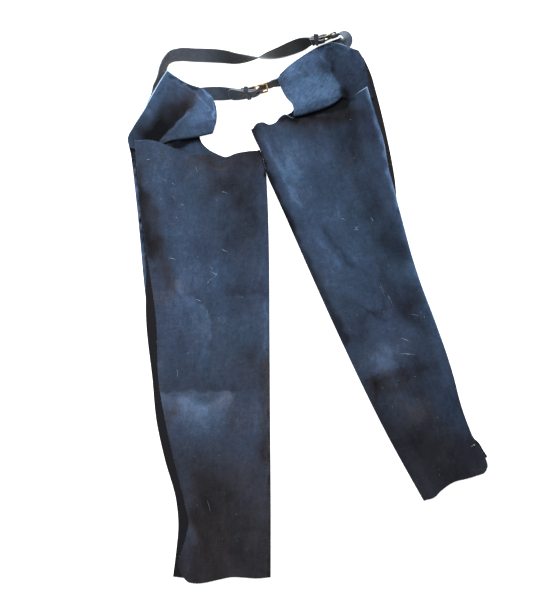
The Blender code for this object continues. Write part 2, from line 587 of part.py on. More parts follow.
def build_buckle(name, line):
    """A rectangular frame of round bar with its prong hooked round the heel bar."""
    frame = []
    near, far = FRAME_CORNER, FRAME_LENGTH - FRAME_CORNER
    for a, w, start in ((far, FRAME_HALF_WIDTH, 0), (near, FRAME_HALF_WIDTH, 90),
                        (near, -FRAME_HALF_WIDTH, 180), (far, -FRAME_HALF_WIDTH, 270)):
        for turn in np.radians((start, start + 30, start + 60, start + 90)):
            frame.append((a + FRAME_CORNER * cos(turn),
                          w - np.sign(w) * FRAME_CORNER + FRAME_CORNER * sin(turn)))
    frame = np.array(frame)
    path, _, normal = line.rigid(frame[:, 0], frame[:, 1], np.zeros(len(frame)))
    round_bar(name + "_frame", path, normal, BAR_RADIUS, BRASS, closed=True)

    hook = BAR_RADIUS + SEAM_GAP + PRONG_RADIUS
    shaft = [(hook * cos(t), hook * sin(t)) for t in np.radians(np.linspace(290, 90, 9))]
    shaft += [(share * FRAME_LENGTH, hook) for share in (1 / 3, 2 / 3, 0.96)]
    shaft += [(FRAME_LENGTH + PRONG_PAST, hook - PRONG_DROP)]
    shaft = np.array(shaft)
    radii = np.full(len(shaft), PRONG_RADIUS)
    radii[-1] *= PRONG_TAPER
    path, across, _ = line.rigid(shaft[:, 0], np.zeros(len(shaft)), shaft[:, 1])
    round_bar(name + "_prong", path, across, radii, BRASS)


def build_belt(belt):
    """Two straps, keeper, buckle frame and prong of one belt."""
    line = BeltLine(belt)
    kind = belt.buckle_name
    build_buckle_strap(kind + "_belt_left", line)
    build_tongue_strap(kind + "_belt_right", line, belt.tip)
    build_keeper(kind + "_keeper", line)
    build_buckle(kind + "_buckle", line)


def build_end_stop():
    """A small two-lobed metal stop that lies on the back half near the right hem."""
    share = np.linspace(-1, 1, 9)
    lobes = END_STOP_RADIUS * (0.62 + 0.38 * np.sin(pi * np.abs(share)))
    turn = radians(END_STOP.roll)
    run = share * END_STOP_LENGTH / 2
    height = OVER_STRIP + WALL / 2 + SEAM_GAP + END_STOP_RADIUS
    path = np.column_stack([END_STOP.x + run * cos(turn), END_STOP.y + run * sin(turn),
                            np.full(len(share), height)])
    round_bar("end_stop_right", path, (0, 0, 1), lobes, BRASS)


def stand_on_origin():
    """Moves every mesh so the part's bounding box stands on the origin."""
    solids = [o for o in bpy.context.scene.objects if o.type == "MESH"]
    corners = np.array([v.co for o in solids for v in o.data.vertices])
    low, high = corners.min(axis=0), corners.max(axis=0)
    shift = -np.array([(low[0] + high[0]) / 2, (low[1] + high[1]) / 2, low[2]])
    for o in solids:
        o.location = shift
    print("moved to its origin by", np.round(shift * 1000, 2), "mm; size", np.round((high - low) * 1000, 1))


def main():
    for old in list(bpy.data.objects):
        bpy.data.objects.remove(old, do_unlink=True)
    build_leg("leg_left", LEFT_LEG)
    build_leg("leg_right", RIGHT_LEG)
    build_strip("side_tape_left", LEFT_LEG, 1)
    build_strip("side_tape_right", RIGHT_LEG, -1)
    build_yoke("yoke_left", LEFT_YOKE)
    build_yoke("yoke_right", RIGHT_YOKE)
    build_belt(BACK_BELT)
    build_belt(FRONT_BELT)
    build_end_stop()
    stand_on_origin()


main()
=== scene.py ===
# %% [markdown]
# # Leather chaps, laid flat with the back up
# The real thing is a pair of full-length riding chaps in blue split suede. Each leg is one panel of
# hide folded round the inner leg. A yoke is sewn to its front half at the hip, and two belts with
# small brass buckles join the yokes, one at the back and one at the front.
# A imported model of plain solids already has every piece at its true size and place. Here each
# piece is worked out again from the same tables, finer, and gets its creases, edges and finish.
# It could be sculpted or simulated, but leather that lies flat keeps its folds for years, so its
# creases are placed one by one, where the real ones are.

# %% Load the frame
from collections import namedtuple
from math import cos, pi, radians, sin

import bpy
import numpy as np
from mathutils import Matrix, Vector


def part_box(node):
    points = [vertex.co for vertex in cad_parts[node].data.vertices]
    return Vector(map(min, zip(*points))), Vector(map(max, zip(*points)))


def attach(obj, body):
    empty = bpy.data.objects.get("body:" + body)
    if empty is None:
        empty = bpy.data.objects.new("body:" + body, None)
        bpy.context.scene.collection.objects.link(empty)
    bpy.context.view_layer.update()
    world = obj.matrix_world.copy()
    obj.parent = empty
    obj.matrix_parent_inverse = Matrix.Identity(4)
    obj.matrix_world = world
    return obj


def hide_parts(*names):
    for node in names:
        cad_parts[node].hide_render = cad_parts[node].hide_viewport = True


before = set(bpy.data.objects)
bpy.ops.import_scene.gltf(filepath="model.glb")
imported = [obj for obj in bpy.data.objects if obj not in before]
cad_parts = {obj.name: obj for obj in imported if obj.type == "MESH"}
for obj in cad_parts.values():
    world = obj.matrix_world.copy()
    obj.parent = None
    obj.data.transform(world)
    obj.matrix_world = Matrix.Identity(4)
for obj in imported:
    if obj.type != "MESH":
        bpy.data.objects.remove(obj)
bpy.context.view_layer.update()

# %% [markdown]
# ## Sizes
# All tables are in millimetres as the leather lies: x to the wearer's right, y from hem to waist,
# z up from the surface. An outline is a list of (x, y) places, and every other table names its
# rows' numbers. One move takes the drawing to the frame, whose origin is in the middle of the
# part's box.

# %% Sizes
MM = 0.001
DRAWING_TO_FRAME = np.array([0.25, 0.33, 0.0])

WALL = 1.8                # split suede
STRIP_WALL = 1.2
BELT_WALL = 2.4           # two plies glued
KEEPER_WALL = 1.6
SEAM_GAP = 0.3
BELT_WIDTH = 25.0
STRIP_WIDTH = 29.0
STRIP_TOP_WIDTH = 13.0
STRIP_TAPER = 70.0
FOLD_RADIUS = 2.6
FRONT_MID = WALL / 2
BACK_REST = 3.2
OVER_STRIP = 4.7
FOLD_SETTLE = 50.0

At = namedtuple("At", "x y")
Hem = namedtuple("Hem", "x y z end_z curl")
Ridge = namedtuple("Ridge", "x0 y0 x1 y1 rise end_rise half_width")
Station = namedtuple("Station", "x y z roll")
Heel = namedtuple("Heel", "x y z yaw roll")
Leg = namedtuple("Leg", "fold back_outer back_hem back_top front_outer front_hem front_top "
                        "strip_outer ridges yoke_lift_top yoke_lift")


def table(kind, *rows):
    """Plain rows of numbers as named rows of one kind."""
    return tuple(kind(*row) for row in rows)


# %% [markdown]
# ## Curves and patches
# A leather panel is a sheet spanned by four edges. Each edge is a smooth curve through a few
# measured points, and the sheet between them is a Coons patch: the two ruled sheets between
# opposite edges, added, less the sheet through the four corners. NURBS would do the same, but
# whole arrays of points keep the sheet's own rows and columns, which loose fibres need later.

# %% Curves and patches


def smooth_step(t):
    """3t^2 - 2t^3 between 0 and 1, level at both ends."""
    t = np.clip(t, 0, 1)
    return t * t * (3 - 2 * t)


def unit(v):
    return v / np.linalg.norm(v, axis=-1, keepdims=True)


def step_lengths(curve):
    """Distance from each row of a table or curve to the next, over at most three columns."""
    return np.linalg.norm(np.diff(curve[:, :3], axis=0), axis=1)


def dense_curve(rows, per_span=24):
    """A cubic through the rows of a table, with slopes weighted by the nearer neighbour."""
    rows = np.array(rows, float)
    span = step_lengths(rows)[:, None]
    slope = np.diff(rows, axis=0) / span
    inner = (slope[:-1] * span[1:] + slope[1:] * span[:-1]) / (span[:-1] + span[1:])
    tangent = np.vstack([slope[:1], inner, slope[-1:]])
    t = np.linspace(0, 1, per_span, endpoint=False)[None, :, None]
    p0, p1 = rows[:-1, None], rows[1:, None]
    m0, m1 = tangent[:-1, None] * span[:, None], tangent[1:, None] * span[:, None]
    curve = ((2 * t**3 - 3 * t**2 + 1) * p0 + (t**3 - 2 * t**2 + t) * m0
             + (3 * t**2 - 2 * t**3) * p1 + (t**3 - t**2) * m1)
    return np.vstack([curve.reshape(-1, rows.shape[1]), rows[-1:]])


def along(curve):
    """Distance along a dense curve at each of its points."""
    return np.concatenate([[0], np.cumsum(step_lengths(curve))])


def read_at(curve, distance):
    s = along(curve)
    return np.column_stack([np.interp(distance, s, column) for column in curve.T])


def edge(rows, fractions):
    """Points of a table's curve at fractions of its length."""
    curve = dense_curve(rows)
    return read_at(curve, np.asarray(fractions) * along(curve)[-1])


def patch(left, right, bottom, top, u, v):
    """A Coons patch: the sheet spanned by four edges, rows bottom to top, columns left to right."""
    u_col = u[:, None]
    bottom = bottom + (1 - u_col) * (left[0] - bottom[0]) + u_col * (right[0] - bottom[-1])
    top = top + (1 - u_col) * (left[-1] - top[0]) + u_col * (right[-1] - top[-1])
    uu, vv = u[None, :, None], v[:, None, None]
    ruled = ((1 - vv) * bottom[None] + vv * top[None]
             + (1 - uu) * left[:, None] + uu * right[:, None])
    corners = ((1 - uu) * (1 - vv) * left[0] + uu * (1 - vv) * right[0]
               + (1 - uu) * vv * left[-1] + uu * vv * right[-1])
    return ruled - corners


def with_height(xy, z):
    """Points of a flat grid at one height, or at a height each."""
    return np.dstack([xy, np.broadcast_to(z, xy.shape[:2])])


def from_segment(x, y, a, b):
    """The share of the way from a to b at which each point is nearest to the line, and its distance."""
    dx, dy = b[0] - a[0], b[1] - a[1]
    t = np.clip(((x - a[0]) * dx + (y - a[1]) * dy) / (dx * dx + dy * dy), 0, 1)
    return t, np.hypot(x - a[0] - t * dx, y - a[1] - t * dy)


def ridge_height(x, y, ridges):
    """Soft ridges: exp(-(distance to the ridge line / half width)^2) times the rise there."""
    height = np.zeros_like(x)
    for r in ridges:
        t, away = from_segment(x, y, (r.x0, r.y0), (r.x1, r.y1))
        height += (r.rise + t * (r.end_rise - r.rise)) * np.exp(-(away / r.half_width)**2)
    return height


def mean_direction(points, axis, closed=False):
    """Unit direction at each point along an axis, the mean of the two neighbouring steps."""
    points = np.moveaxis(points, axis, 0)
    if closed:
        step = unit(np.roll(points, -1, axis=0) - points)
        mean = unit(step + np.roll(step, 1, axis=0))
    else:
        step = unit(np.diff(points, axis=0))
        mean = unit(np.concatenate([step[:1], step[:-1] + step[1:], step[-1:]]))
    return np.moveaxis(mean, 0, axis)


# %% [markdown]
# ## From arrays to meshes
# Cut leather is a wall of even thickness with a rounded edge. So a piece is a grid of middle
# points, moved out along its normal to both sides, and the two skins are joined by a rim under
# every edge that only one face uses. That one rule also closes slots and holes. Solidify would
# give the wall, but not the rounding, nor the distance to the nearest cut edge. That distance is
# kept as an attribute, because cut suede shows a pale core there.

# %% From arrays to meshes
RIM_STEPS = np.array([0, 0.35, 0.9, 1.7, 2.8])   # mm in from a cut edge, where a grid is finer
RIM_ROUND = 0.9
RIM_LEAST = 0.4            # share of the wall's thickness left at its very edge


def shares(length, step, start=True, end=True):
    """Fractions of a length: rim steps at its cut ends, and even steps between."""
    head = RIM_STEPS if start else RIM_STEPS[:1]
    tail = length - (RIM_STEPS if end else RIM_STEPS[:1])[::-1]
    count = max(2, int(round((tail[0] - head[-1]) / step)))
    between = np.linspace(head[-1], tail[0], count + 1)[1:-1]
    return np.concatenate([head, between, tail]) / length


def run_over(mid, axis):
    """Distance over the leather along one axis of a grid, from its first row or column."""
    step = np.linalg.norm(np.diff(mid, axis=axis), axis=2)
    return np.concatenate([np.zeros_like(step.take([0], axis)), np.cumsum(step, axis=axis)], axis=axis)


def from_border(mid, closed=False):
    """Distance over the leather from each point of a grid to its nearest cut edge."""
    over = run_over(mid, 1)
    nearest = np.minimum(over, over[:, -1:] - over)
    if closed:
        return nearest
    down = run_over(mid, 0)
    return np.minimum(nearest, np.minimum(down, down[-1:] - down))


def grid_quads(rows, cols, closed=False, round_cols=False, kept=None):
    """Corner numbers of a grid's cells, less the cells not kept.

    A closed grid joins its last row to its first, and round columns join the last to the first.
    """
    index = np.arange(rows * cols).reshape(rows, cols)
    if round_cols:
        index = np.concatenate([index, index[:, :1]], axis=1)
    if closed:
        index = np.concatenate([index, index[:1]])
    quads = np.stack([index[:-1, :-1], index[:-1, 1:], index[1:, 1:], index[1:, :-1]], axis=-1)
    return quads.reshape(-1, 4) if kept is None else quads[kept]


def shell_faces(quads, count):
    """Faces of a wall: the quads, the same turned over for the other skin, and a rim at lone edges."""
    edges = np.stack([quads, np.roll(quads, -1, axis=1)], axis=2).reshape(-1, 2)
    low_high = np.sort(edges, axis=1)
    key = low_high[:, 0] * count + low_high[:, 1]
    _, first, uses = np.unique(key, return_index=True, return_counts=True)
    lone = edges[first[uses == 1]]
    rim = np.column_stack([lone[:, 1], lone[:, 0], lone[:, 0] + count, lone[:, 1] + count])
    return np.concatenate([quads, quads[:, ::-1] + count, rim])


def signed_volume(points, faces):
    """Six times the volume inside, negative where faces point inwards."""
    a, b, c, d = (points[faces[:, k]] for k in range(4))
    return np.sum(a * np.cross(b, c)) + np.sum(a * np.cross(c, d))


def add_object(name, data):
    """An object in the scene that shows a mesh, a lamp or a camera."""
    made = bpy.data.objects.new(name, data)
    bpy.context.scene.collection.objects.link(made)
    return made


def mesh_piece(name, points, faces, **attributes):
    """A mesh object from drawing points and rows of four corners, faces out, with point attributes."""
    used, faces = np.unique(faces, return_inverse=True)
    points = np.asarray(points, float).reshape(-1, 3)[used]
    faces = faces.reshape(-1, 4)
    if signed_volume(points, faces) < 0:
        faces = faces[:, ::-1]
    mesh = bpy.data.meshes.new(name)
    mesh.from_pydata((points + DRAWING_TO_FRAME) * MM, [], faces)
    mesh.shade_smooth()
    for key, values in attributes.items():
        stored = mesh.attributes.new(key, "FLOAT", "POINT")
        stored.data.foreach_set("value", np.asarray(values, np.float32).ravel()[used])
    return add_object(name, mesh)


def skins(mid, thickness, closed=False):
    """Both skins of a wall round a grid of middle points, its cut edges rounded off."""
    normal = unit(np.cross(mean_direction(mid, 0, closed), mean_direction(mid, 1)))
    inwards = np.clip(from_border(mid, closed) / RIM_ROUND, 0, 1)
    rounding = np.maximum(np.sqrt(1 - (1 - inwards)**2), RIM_LEAST)
    offset = normal * (rounding * thickness / 2)[..., None]
    return np.stack([mid + offset, mid - offset])


def wall(name, mid, thickness, closed=False, kept=None, **attributes):
    """A leather wall round a grid of middle points. Its attributes are the same on both skins."""
    rows, cols, _ = mid.shape
    faces = shell_faces(grid_quads(rows, cols, closed, kept=kept), rows * cols)
    both = {key: np.concatenate([np.ravel(values)] * 2) for key, values in attributes.items()}
    return mesh_piece(name, skins(mid, thickness, closed), faces, **both)


def measure(piece, nodes):
    """Prints a piece's triangles and how far it reaches past the solids it stands for, if any."""
    said = f"{piece.name}: {len(piece.data.loops) - 2 * len(piece.data.polygons)} triangles"
    if nodes:
        points = np.empty(3 * len(piece.data.vertices))
        piece.data.vertices.foreach_get("co", points)
        points = points.reshape(-1, 3)
        boxes = np.array([[list(corner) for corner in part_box(node)] for node in nodes])
        past = max(np.max(boxes[:, 0].min(axis=0) - points.min(axis=0)),
                   np.max(points.max(axis=0) - boxes[:, 1].max(axis=0)))
        said += f", at most {past / MM:.1f} mm past its solid"
    print(said)


def belongs(piece, material, slot, *nodes):
    """Gives a piece its material, says what body and solids it goes with, and measures it. Its slot is
    not used.
    """
    piece.data.materials.append(material)
    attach(piece, "root")
    if nodes:
        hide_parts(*nodes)
    measure(piece, nodes)
    return piece


# %% [markdown]
# ## Shader arithmetic
# Suede has no printed pattern. Its look is a sum of masks: dye, fading, grime, brushed nap and a
# pale cut edge. Sums are easier to read as sums, so one small class wraps a socket and an
# expression on values adds its Math nodes. Every other node comes from one method.

# %% Shader arithmetic
LIFT = 0.72               # the studio light on the leather is stronger than the photograph's


class Value:
    """A shader output that can be used in sums."""

    def __init__(self, finish, socket):
        self.finish = finish
        self.socket = socket

    def math(self, operation, a, b):
        return self.finish.node("Math", {"operation": operation}, {"Value": a, "Value_001": b})

    def __add__(self, other):
        return self.math("ADD", self, other)

    __radd__ = __add__

    def __sub__(self, other):
        return self.math("SUBTRACT", self, other)

    def __rsub__(self, other):
        return self.math("SUBTRACT", other, self)

    def __mul__(self, other):
        return self.math("MULTIPLY", self, other)

    def clamp(self):
        return self.finish.node("Clamp", {}, {"Value": self})

    def between(self, low, high):
        """0 below low, 1 above high, and a smooth step from one to the other."""
        return self.finish.node("MapRange", {"interpolation_type": "SMOOTHSTEP"},
                                {"Value": self, "From Min": low, "From Max": high})


class Finish:
    """A material in the making."""

    def __init__(self, name):
        self.material = bpy.data.materials.new(name)
        self.material.use_nodes = True
        self.tree = self.material.node_tree
        self.shader = self.tree.nodes["Principled BSDF"]

    def put(self, made, sockets):
        """Sets or links sockets, found by identifier or by name."""
        for key, value in sockets.items():
            found = [s for s in made.inputs if s.identifier == key] or [made.inputs[key]]
            if isinstance(value, Value):
                self.tree.links.new(value.socket, found[0])
            else:
                found[0].default_value = value

    def node(self, kind, settings, sockets, output=0):
        """Any node: its type, its settings, which are set first, and its sockets' values or links."""
        made = self.tree.nodes.new("ShaderNode" + kind)
        for key, value in settings.items():
            if key == "stops":
                ramp = made.color_ramp
                while len(ramp.elements) < len(value):
                    ramp.elements.new(1)
                for element, (position, colour) in zip(ramp.elements, value):
                    element.position = position
                    element.color = colour
            else:
                setattr(made, key, value)
        self.put(made, sockets)
        outputs = [s for s in made.outputs if s.enabled and not s.is_unavailable]
        return Value(self, outputs[output])

    def attribute(self, name):
        return self.node("Attribute", {"attribute_name": name}, {}, output=2)

    def place(self):
        return self.node("TexCoord", {}, {}, output=3)

    def along_turn(self, turn, stretch):
        """Object coordinates turned by so many degrees, so that a pattern is longer that way."""
        return self.node("Mapping", {"vector_type": "TEXTURE"},
                         {"Vector": self.place(), "Rotation": (0, 0, radians(turn)),
                          "Scale": (stretch, 1.0, 1.0)})

    def noise(self, size, detail=3.0, roughness=0.55, vector=None, distortion=0.0):
        """Even noise round 0, from about -0.5 to 0.5, with patches of about size metres."""
        made = self.node("TexNoise", {}, {"Vector": vector or self.place(), "Scale": 0.5 / size,
                                          "Detail": detail, "Roughness": roughness,
                                          "Distortion": distortion})
        return made - 0.5

    def mix(self, factor, a, b):
        """Colours mixed by a factor."""
        return self.node("Mix", {"data_type": "RGBA"},
                         {"Factor_Float": factor, "A_Color": a, "B_Color": b})

    def ramp(self, value, rows):
        """Colours read by a value, from rows of a position and a screen colour."""
        stops = [(position, srgb(*colour, LIFT)) for position, colour in rows]
        return self.node("ValToRGB", {"stops": stops}, {"Fac": value})

    def bump(self, height, distance, strength):
        normal = self.node("Bump", {}, {"Height": height, "Distance": distance, "Strength": strength})
        self.put(self.shader, {"Normal": normal})


def srgb(red, green, blue, lift=1.0):
    """A screen colour of 0 to 255 as the shader's linear one, times a lift."""
    share = np.array([red, green, blue]) / 255
    linear = np.where(share <= 0.04045, share / 12.92, ((share + 0.055) / 1.055)**2.4) * lift
    return (*[float(c) for c in linear], 1.0)


# %% [markdown]
# ## Blue split suede
# Suede is hide with its fibres brushed up. The dye is a dark navy. Where it is rubbed or faded it turns
# light denim blue, and where it is soiled it goes brown-grey. A brushed nap also looks lighter or
# darker by the way it lies. So each vertex carries two measures, tone and warm. The shader adds noise
# of several sizes, from clouds down to single fibres, which show only where the nap is lifted. Then it
# reads rows of colours, two clean and one soiled. The cut edge is pale, because the dye didn't go all
# the way in.

# %% Blue split suede
TONE_STEPS = (0.0, 0.2, 0.5, 0.75, 1.0)
TEAL_BLUE = (10, 14, 19), (34, 44, 57), (57, 79, 104), (78, 110, 142), (98, 138, 180)
VIOLET_BLUE = (12, 14, 22), (36, 42, 60), (61, 75, 104), (86, 104, 144), (108, 134, 182)
SOILED = (14, 13, 14), (40, 37, 39), (70, 65, 69), (96, 92, 98), (124, 124, 132)
PALE_CORE = (146, 168, 196)
YOKE_CORE = (186, 212, 232)
PEAK_SOFTNESS = 0.09      # how softly a hairline begins and ends
CLOUDS, STREAKS, GRAIN, NAP, BRUSHED = 0.30, 0.14, 0.36, 0.40, 0.07     # what each adds to tone
LIFTED_FROM, LIFTED_TO, LEAST_LIFTED = 0.15, 0.55, 0.3     # tones between which the nap stands up
SOIL_MOTTLE = 0.45
FRAY, FRAY_FROM, FRAY_TO, FRAY_COVER = 0.9, 0.35, 0.95, 0.85


def hairlines(finish, turn, length, width, rarity):
    """Thin brushed lines one way: noise stretched along its own direction, and only its peaks."""
    stretched = finish.along_turn(turn, length / width)
    return finish.noise(width, 1.0, 0.5, stretched, 1.2).between(rarity, rarity + PEAK_SOFTNESS)


def suede(name, lean, pale_core=PALE_CORE, mottle_contrast=0.18, nap_contrast=0.7,
          fibre_contrast=0.2):
    """The leather's whole finish. The nap's streaks lean by so many degrees from straight down."""
    finish = Finish(name)
    down_leg = finish.along_turn(lean + 90, 1.8)
    clouds = finish.noise(0.045, 5.0, 0.62, down_leg, 0.8)
    streaks = finish.noise(0.006, 3.0, 0.6, finish.along_turn(lean + 90, 6.0), 0.6)
    mottle = finish.noise(0.013, 4.0, 0.62, distortion=0.4)
    grain = finish.noise(0.0042, 2.0, 0.6)
    nap = finish.noise(0.0016, 2.0, 0.7)
    # The tone attribute also carries the painted shade and painted highlights of the tables further on.
    tone = finish.attribute("tone") + clouds * CLOUDS + mottle * mottle_contrast
    fibres = finish.noise(0.0013, 2.0, 0.65, finish.along_turn(lean + 75, 4.5), 0.6)
    lifted = finish.attribute("tone").between(LIFTED_FROM, LIFTED_TO)
    lifted = lifted * (1 - LEAST_LIFTED) + LEAST_LIFTED
    fine = (grain * GRAIN + nap * NAP) * nap_contrast + fibres * fibre_contrast
    tone = tone + fine * lifted + streaks * STREAKS
    brushed = hairlines(finish, 12, 0.02, 0.0018, 0.16) + hairlines(finish, 70, 0.02, 0.0016, 0.16)
    tone = tone + brushed * BRUSHED
    warm = finish.attribute("warm") + finish.noise(0.02, 5.0, 0.65) * SOIL_MOTTLE
    violet = (finish.noise(0.05, 3.0, 0.6, distortion=0.5) * 1.6 + 0.35).clamp()
    teal, bluer, soiled = (finish.ramp(tone, zip(TONE_STEPS, colours))
                           for colours in (TEAL_BLUE, VIOLET_BLUE, SOILED))
    clean = finish.mix(violet, teal, bluer)
    leather = finish.mix(warm.clamp(), clean, soiled)
    frayed = finish.attribute("pale") + finish.noise(0.006, 3.0, 0.7) * FRAY
    leather = finish.mix(frayed.between(FRAY_FROM, FRAY_TO) * FRAY_COVER, leather, srgb(*pale_core))
    finish.put(finish.shader, {"Base Color": leather, "Roughness": 0.96, "Specular IOR Level": 0.12,
                               "Sheen Weight": 0.08, "Sheen Roughness": 0.5,
                               "Sheen Tint": (0.55, 0.72, 1.0, 1.0)})
    creases = finish.noise(0.008, 4.0, 0.6, down_leg)
    finish.bump(nap * 0.5 + grain * 0.6 + creases * 1.2, 0.0011, 0.9)
    return finish.material


LEFT_LEAN, RIGHT_LEAN = -2.0, 25.0       # how the legs lie
LEFT_SUEDE = suede("left leg suede", LEFT_LEAN)
RIGHT_SUEDE = suede("right leg suede", RIGHT_LEAN)

# %% [markdown]
# ## Where the leather is faded and soiled, and where shade is painted
# Wear isn't noise: it is where a knee bent, where the calf rubbed the saddle, and where mud dried. Some
# rows paint light and shade instead: painted shadow under the yokes' rolled hems and beside an edge
# that lies over another layer, painted shade on a rounded fold and where the two legs touch, and
# painted highlights on lit edges. Each place is a row of a table: its middle, its half lengths along
# and across its own direction, what it adds to tone and warm and, for a few, how narrow its upper side
# is. The rows fall off like bells. Their outlines are then bent by slow waves, so that none looks like
# an ellipse. Creases, edges of stains and most of the painted shade are strokes instead: a line of
# points with its own softness on each side, left and right as one goes along it, so that one side can
# be sharp.

# %% Where the leather is faded and soiled, and where shade is painted
Wear = namedtuple("Wear", "x y along across turn tone warm sharp", defaults=(1,))
Shade = namedtuple("Shade", "points left right tone warm")
Level = namedtuple("Level", "y tone warm")     # the plain leather's tone down the leg
Spot = namedtuple("Spot", "x y reach pale")    # how pale the cut edge is near a place

LEFT_LEVELS = table(
    Level, (-500, 0.29, 0.85), (-400, 0.27, 0.85), (-300, 0.32, 0.66), (-262, 0.38, 0.44),
    (-225, 0.47, 0.26), (-160, 0.52, 0.24), (-40, 0.5, 0.2), (60, 0.44, 0.14), (300, 0.42, 0.14))
LEFT_BACK_WEAR = table(
    Wear, (-232, 130, 150, 44, 97, 0.07, 0), (-270, 270, 30, 22, 0, 0.05, 0.1),
    (-124, 100, 140, 40, 92, -0.08, 0.06), (-152, 216, 40, 26, 0, -0.14, 0.32),
    (-172, 262, 34, 13, -10, -0.08, 0.3), (-118, 236, 24, 22, 60, 0.02, -0.05),
    (-158, 184, 12, 8, 20, 0.1, 0), (-262, 26, 32, 18, 20, 0.12, 0.35),
    (-100, 275, 22, 22, 0, -0.16, 0.25), (-153, 257, 10, 6, 20, 0.16, 0.15),
    (-117, 85, 32, 26, 0, 0.1, 0), (-121, -194, 34, 24, 80, -0.1, 0.25),
    (-212, -401, 60, 12, 90, 0.12, -0.2), (-155, -470, 30, 18, 0, -0.04, 0.3),
    (-229, 35, 32, 5, 100, 0.04, 0.15), (-196, -172, 62, 40, -4, 0.34, 0.05, 0.25),
    (-206, -120, 74, 24, 2, -0.09, 0.05), (-102, -108, 36, 44, 80, -0.13, 0.25),
    (-155, -172, 18, 18, 0, 0, 0.2), (-244, -190, 30, 12, 84, -0.1, 0.35),
    (-180, -400, 110, 34, 92, -0.13, 0.3), (-230, -365, 84, 15, 96, 0.1, -0.35),
    (-100, -368, 64, 22, 90, 0.02, 0), (-212, 30, 40, 24, 100, 0.06, 0),
    (-236, -98, 40, 20, 90, -0.05, 0), (-160, 60, 50, 22, 95, 0.09, -0.15),
    (-240, 68, 16, 14, 0, -0.05, 0))
LEFT_FRONT_WEAR_AND_SHADE = table(
    Wear, (-300, 130, 90, 14, 100, 0.1, -0.1), (-312, 290, 40, 20, 90, -0.12, 0.45),
    # The row at (-150, 290) is painted shade under the yoke's rolled hem.
    (-150, 290, 50, 20, 0, -0.1, -0.05), (-240, 90, 60, 34, 90, 0.14, 0),
    (-180, -150, 70, 40, 0, 0.16, 0.1), (-160, -380, 110, 50, 90, -0.1, 0.4))
LEFT_BACK_SHADES = table(
    Shade,
    (((-304, 283), (-292, 193), (-284, 121), (-279, 67), (-275, 13)), 16, 30, -0.04, 0.12),
    (((-290, 200), (-275, 166), (-272, 121)), 9, 24, -0.14, 0.35),
    (((-308, 245), (-302, 200), (-297, 160), (-289, 120), (-283, 92)), 10, 6, -0.2, 0.2),
    (((-268, 112), (-257, 70), (-246, 40)), 12, 12, -0.12, 0.45),
    (((-189, 268), (-137, 268), (-83, 272)), 20, 26, -0.06, 0.42),
    # Painted shadow where the two legs touch at the fold.
    (((-84, 278), (-80, 265), (-77, 252), (-74, 236)), 3, 3, -0.7, 0.1),
    (((-74, -100), (-76, -180), (-76, -270)), 16, 10, -0.14, 0.5),
    (((-108, 218), (-104, 166), (-110, 112)), 24, 36, -0.1, 0.15),
    (((-137, 20), (-81, 22)), 26, 2.2, -0.1, 0.1),
    (((-126, 18), (-104, 22), (-83, 22)), 2, 2, 0.1, 0),
    (((-238, 45), (-225, 25), (-212, 4)), 6, 6, 0.14, -0.05),
    (((-202, 13), (-184, 2), (-175, -16), (-171, -50), (-173, -77)), 14, 2.2, -0.08, 0.05),
    (((-203, 11), (-187, 0), (-178, -18), (-175, -50)), 2, 12, 0.06, -0.05),
    (((-265, -151), (-203, -149), (-140, -151)), 18, 2.2, -0.1, 0.1),
    (((-265, -154), (-203, -152), (-140, -154)), 2, 12, 0.1, 0.1),
    (((-76, 13), (-74, -167), (-72, -311)), 3, 4, 0.1, -0.1),
    (((-272, -68), (-265, -140), (-254, -203), (-243, -257), (-234, -311)), 8, 16, -0.03, 0.15),
    (((-229, -311), (-223, -383), (-223, -428)), 5, 14, -0.06, 0.1),
    (((-68, -167), (-67, -383), (-68, -513)), 5, 3, -0.14, 0.4))
LEFT_FRONT_SHADES = table(
    Shade,
    # Painted shadow under the left yoke's rolled hem, in two strokes.
    (((-266, 297), (-234, 290), (-194, 301), (-166, 299)), 10, 8, -0.1, -0.1),
    (((-261, 298), (-234, 292), (-194, 305), (-184, 308)), 5, 5, -0.5, 0),
    (((-317, 245), (-309, 200), (-305, 148)), 3, 3, 0.44, 0.6),
    (((-302, 120), (-294, 58), (-290, 15)), 3, 3, 0.18, 0.3),
    # Painted shadow beside the back half's outer edge, which lies over this front half.
    (((-310, 250), (-302, 205), (-299, 148), (-292, 103), (-286, 58)), 5, 2.4, -0.6, 0.2),
    (((-322, 290), (-317, 264)), 7, 7, -0.3, 0.2))

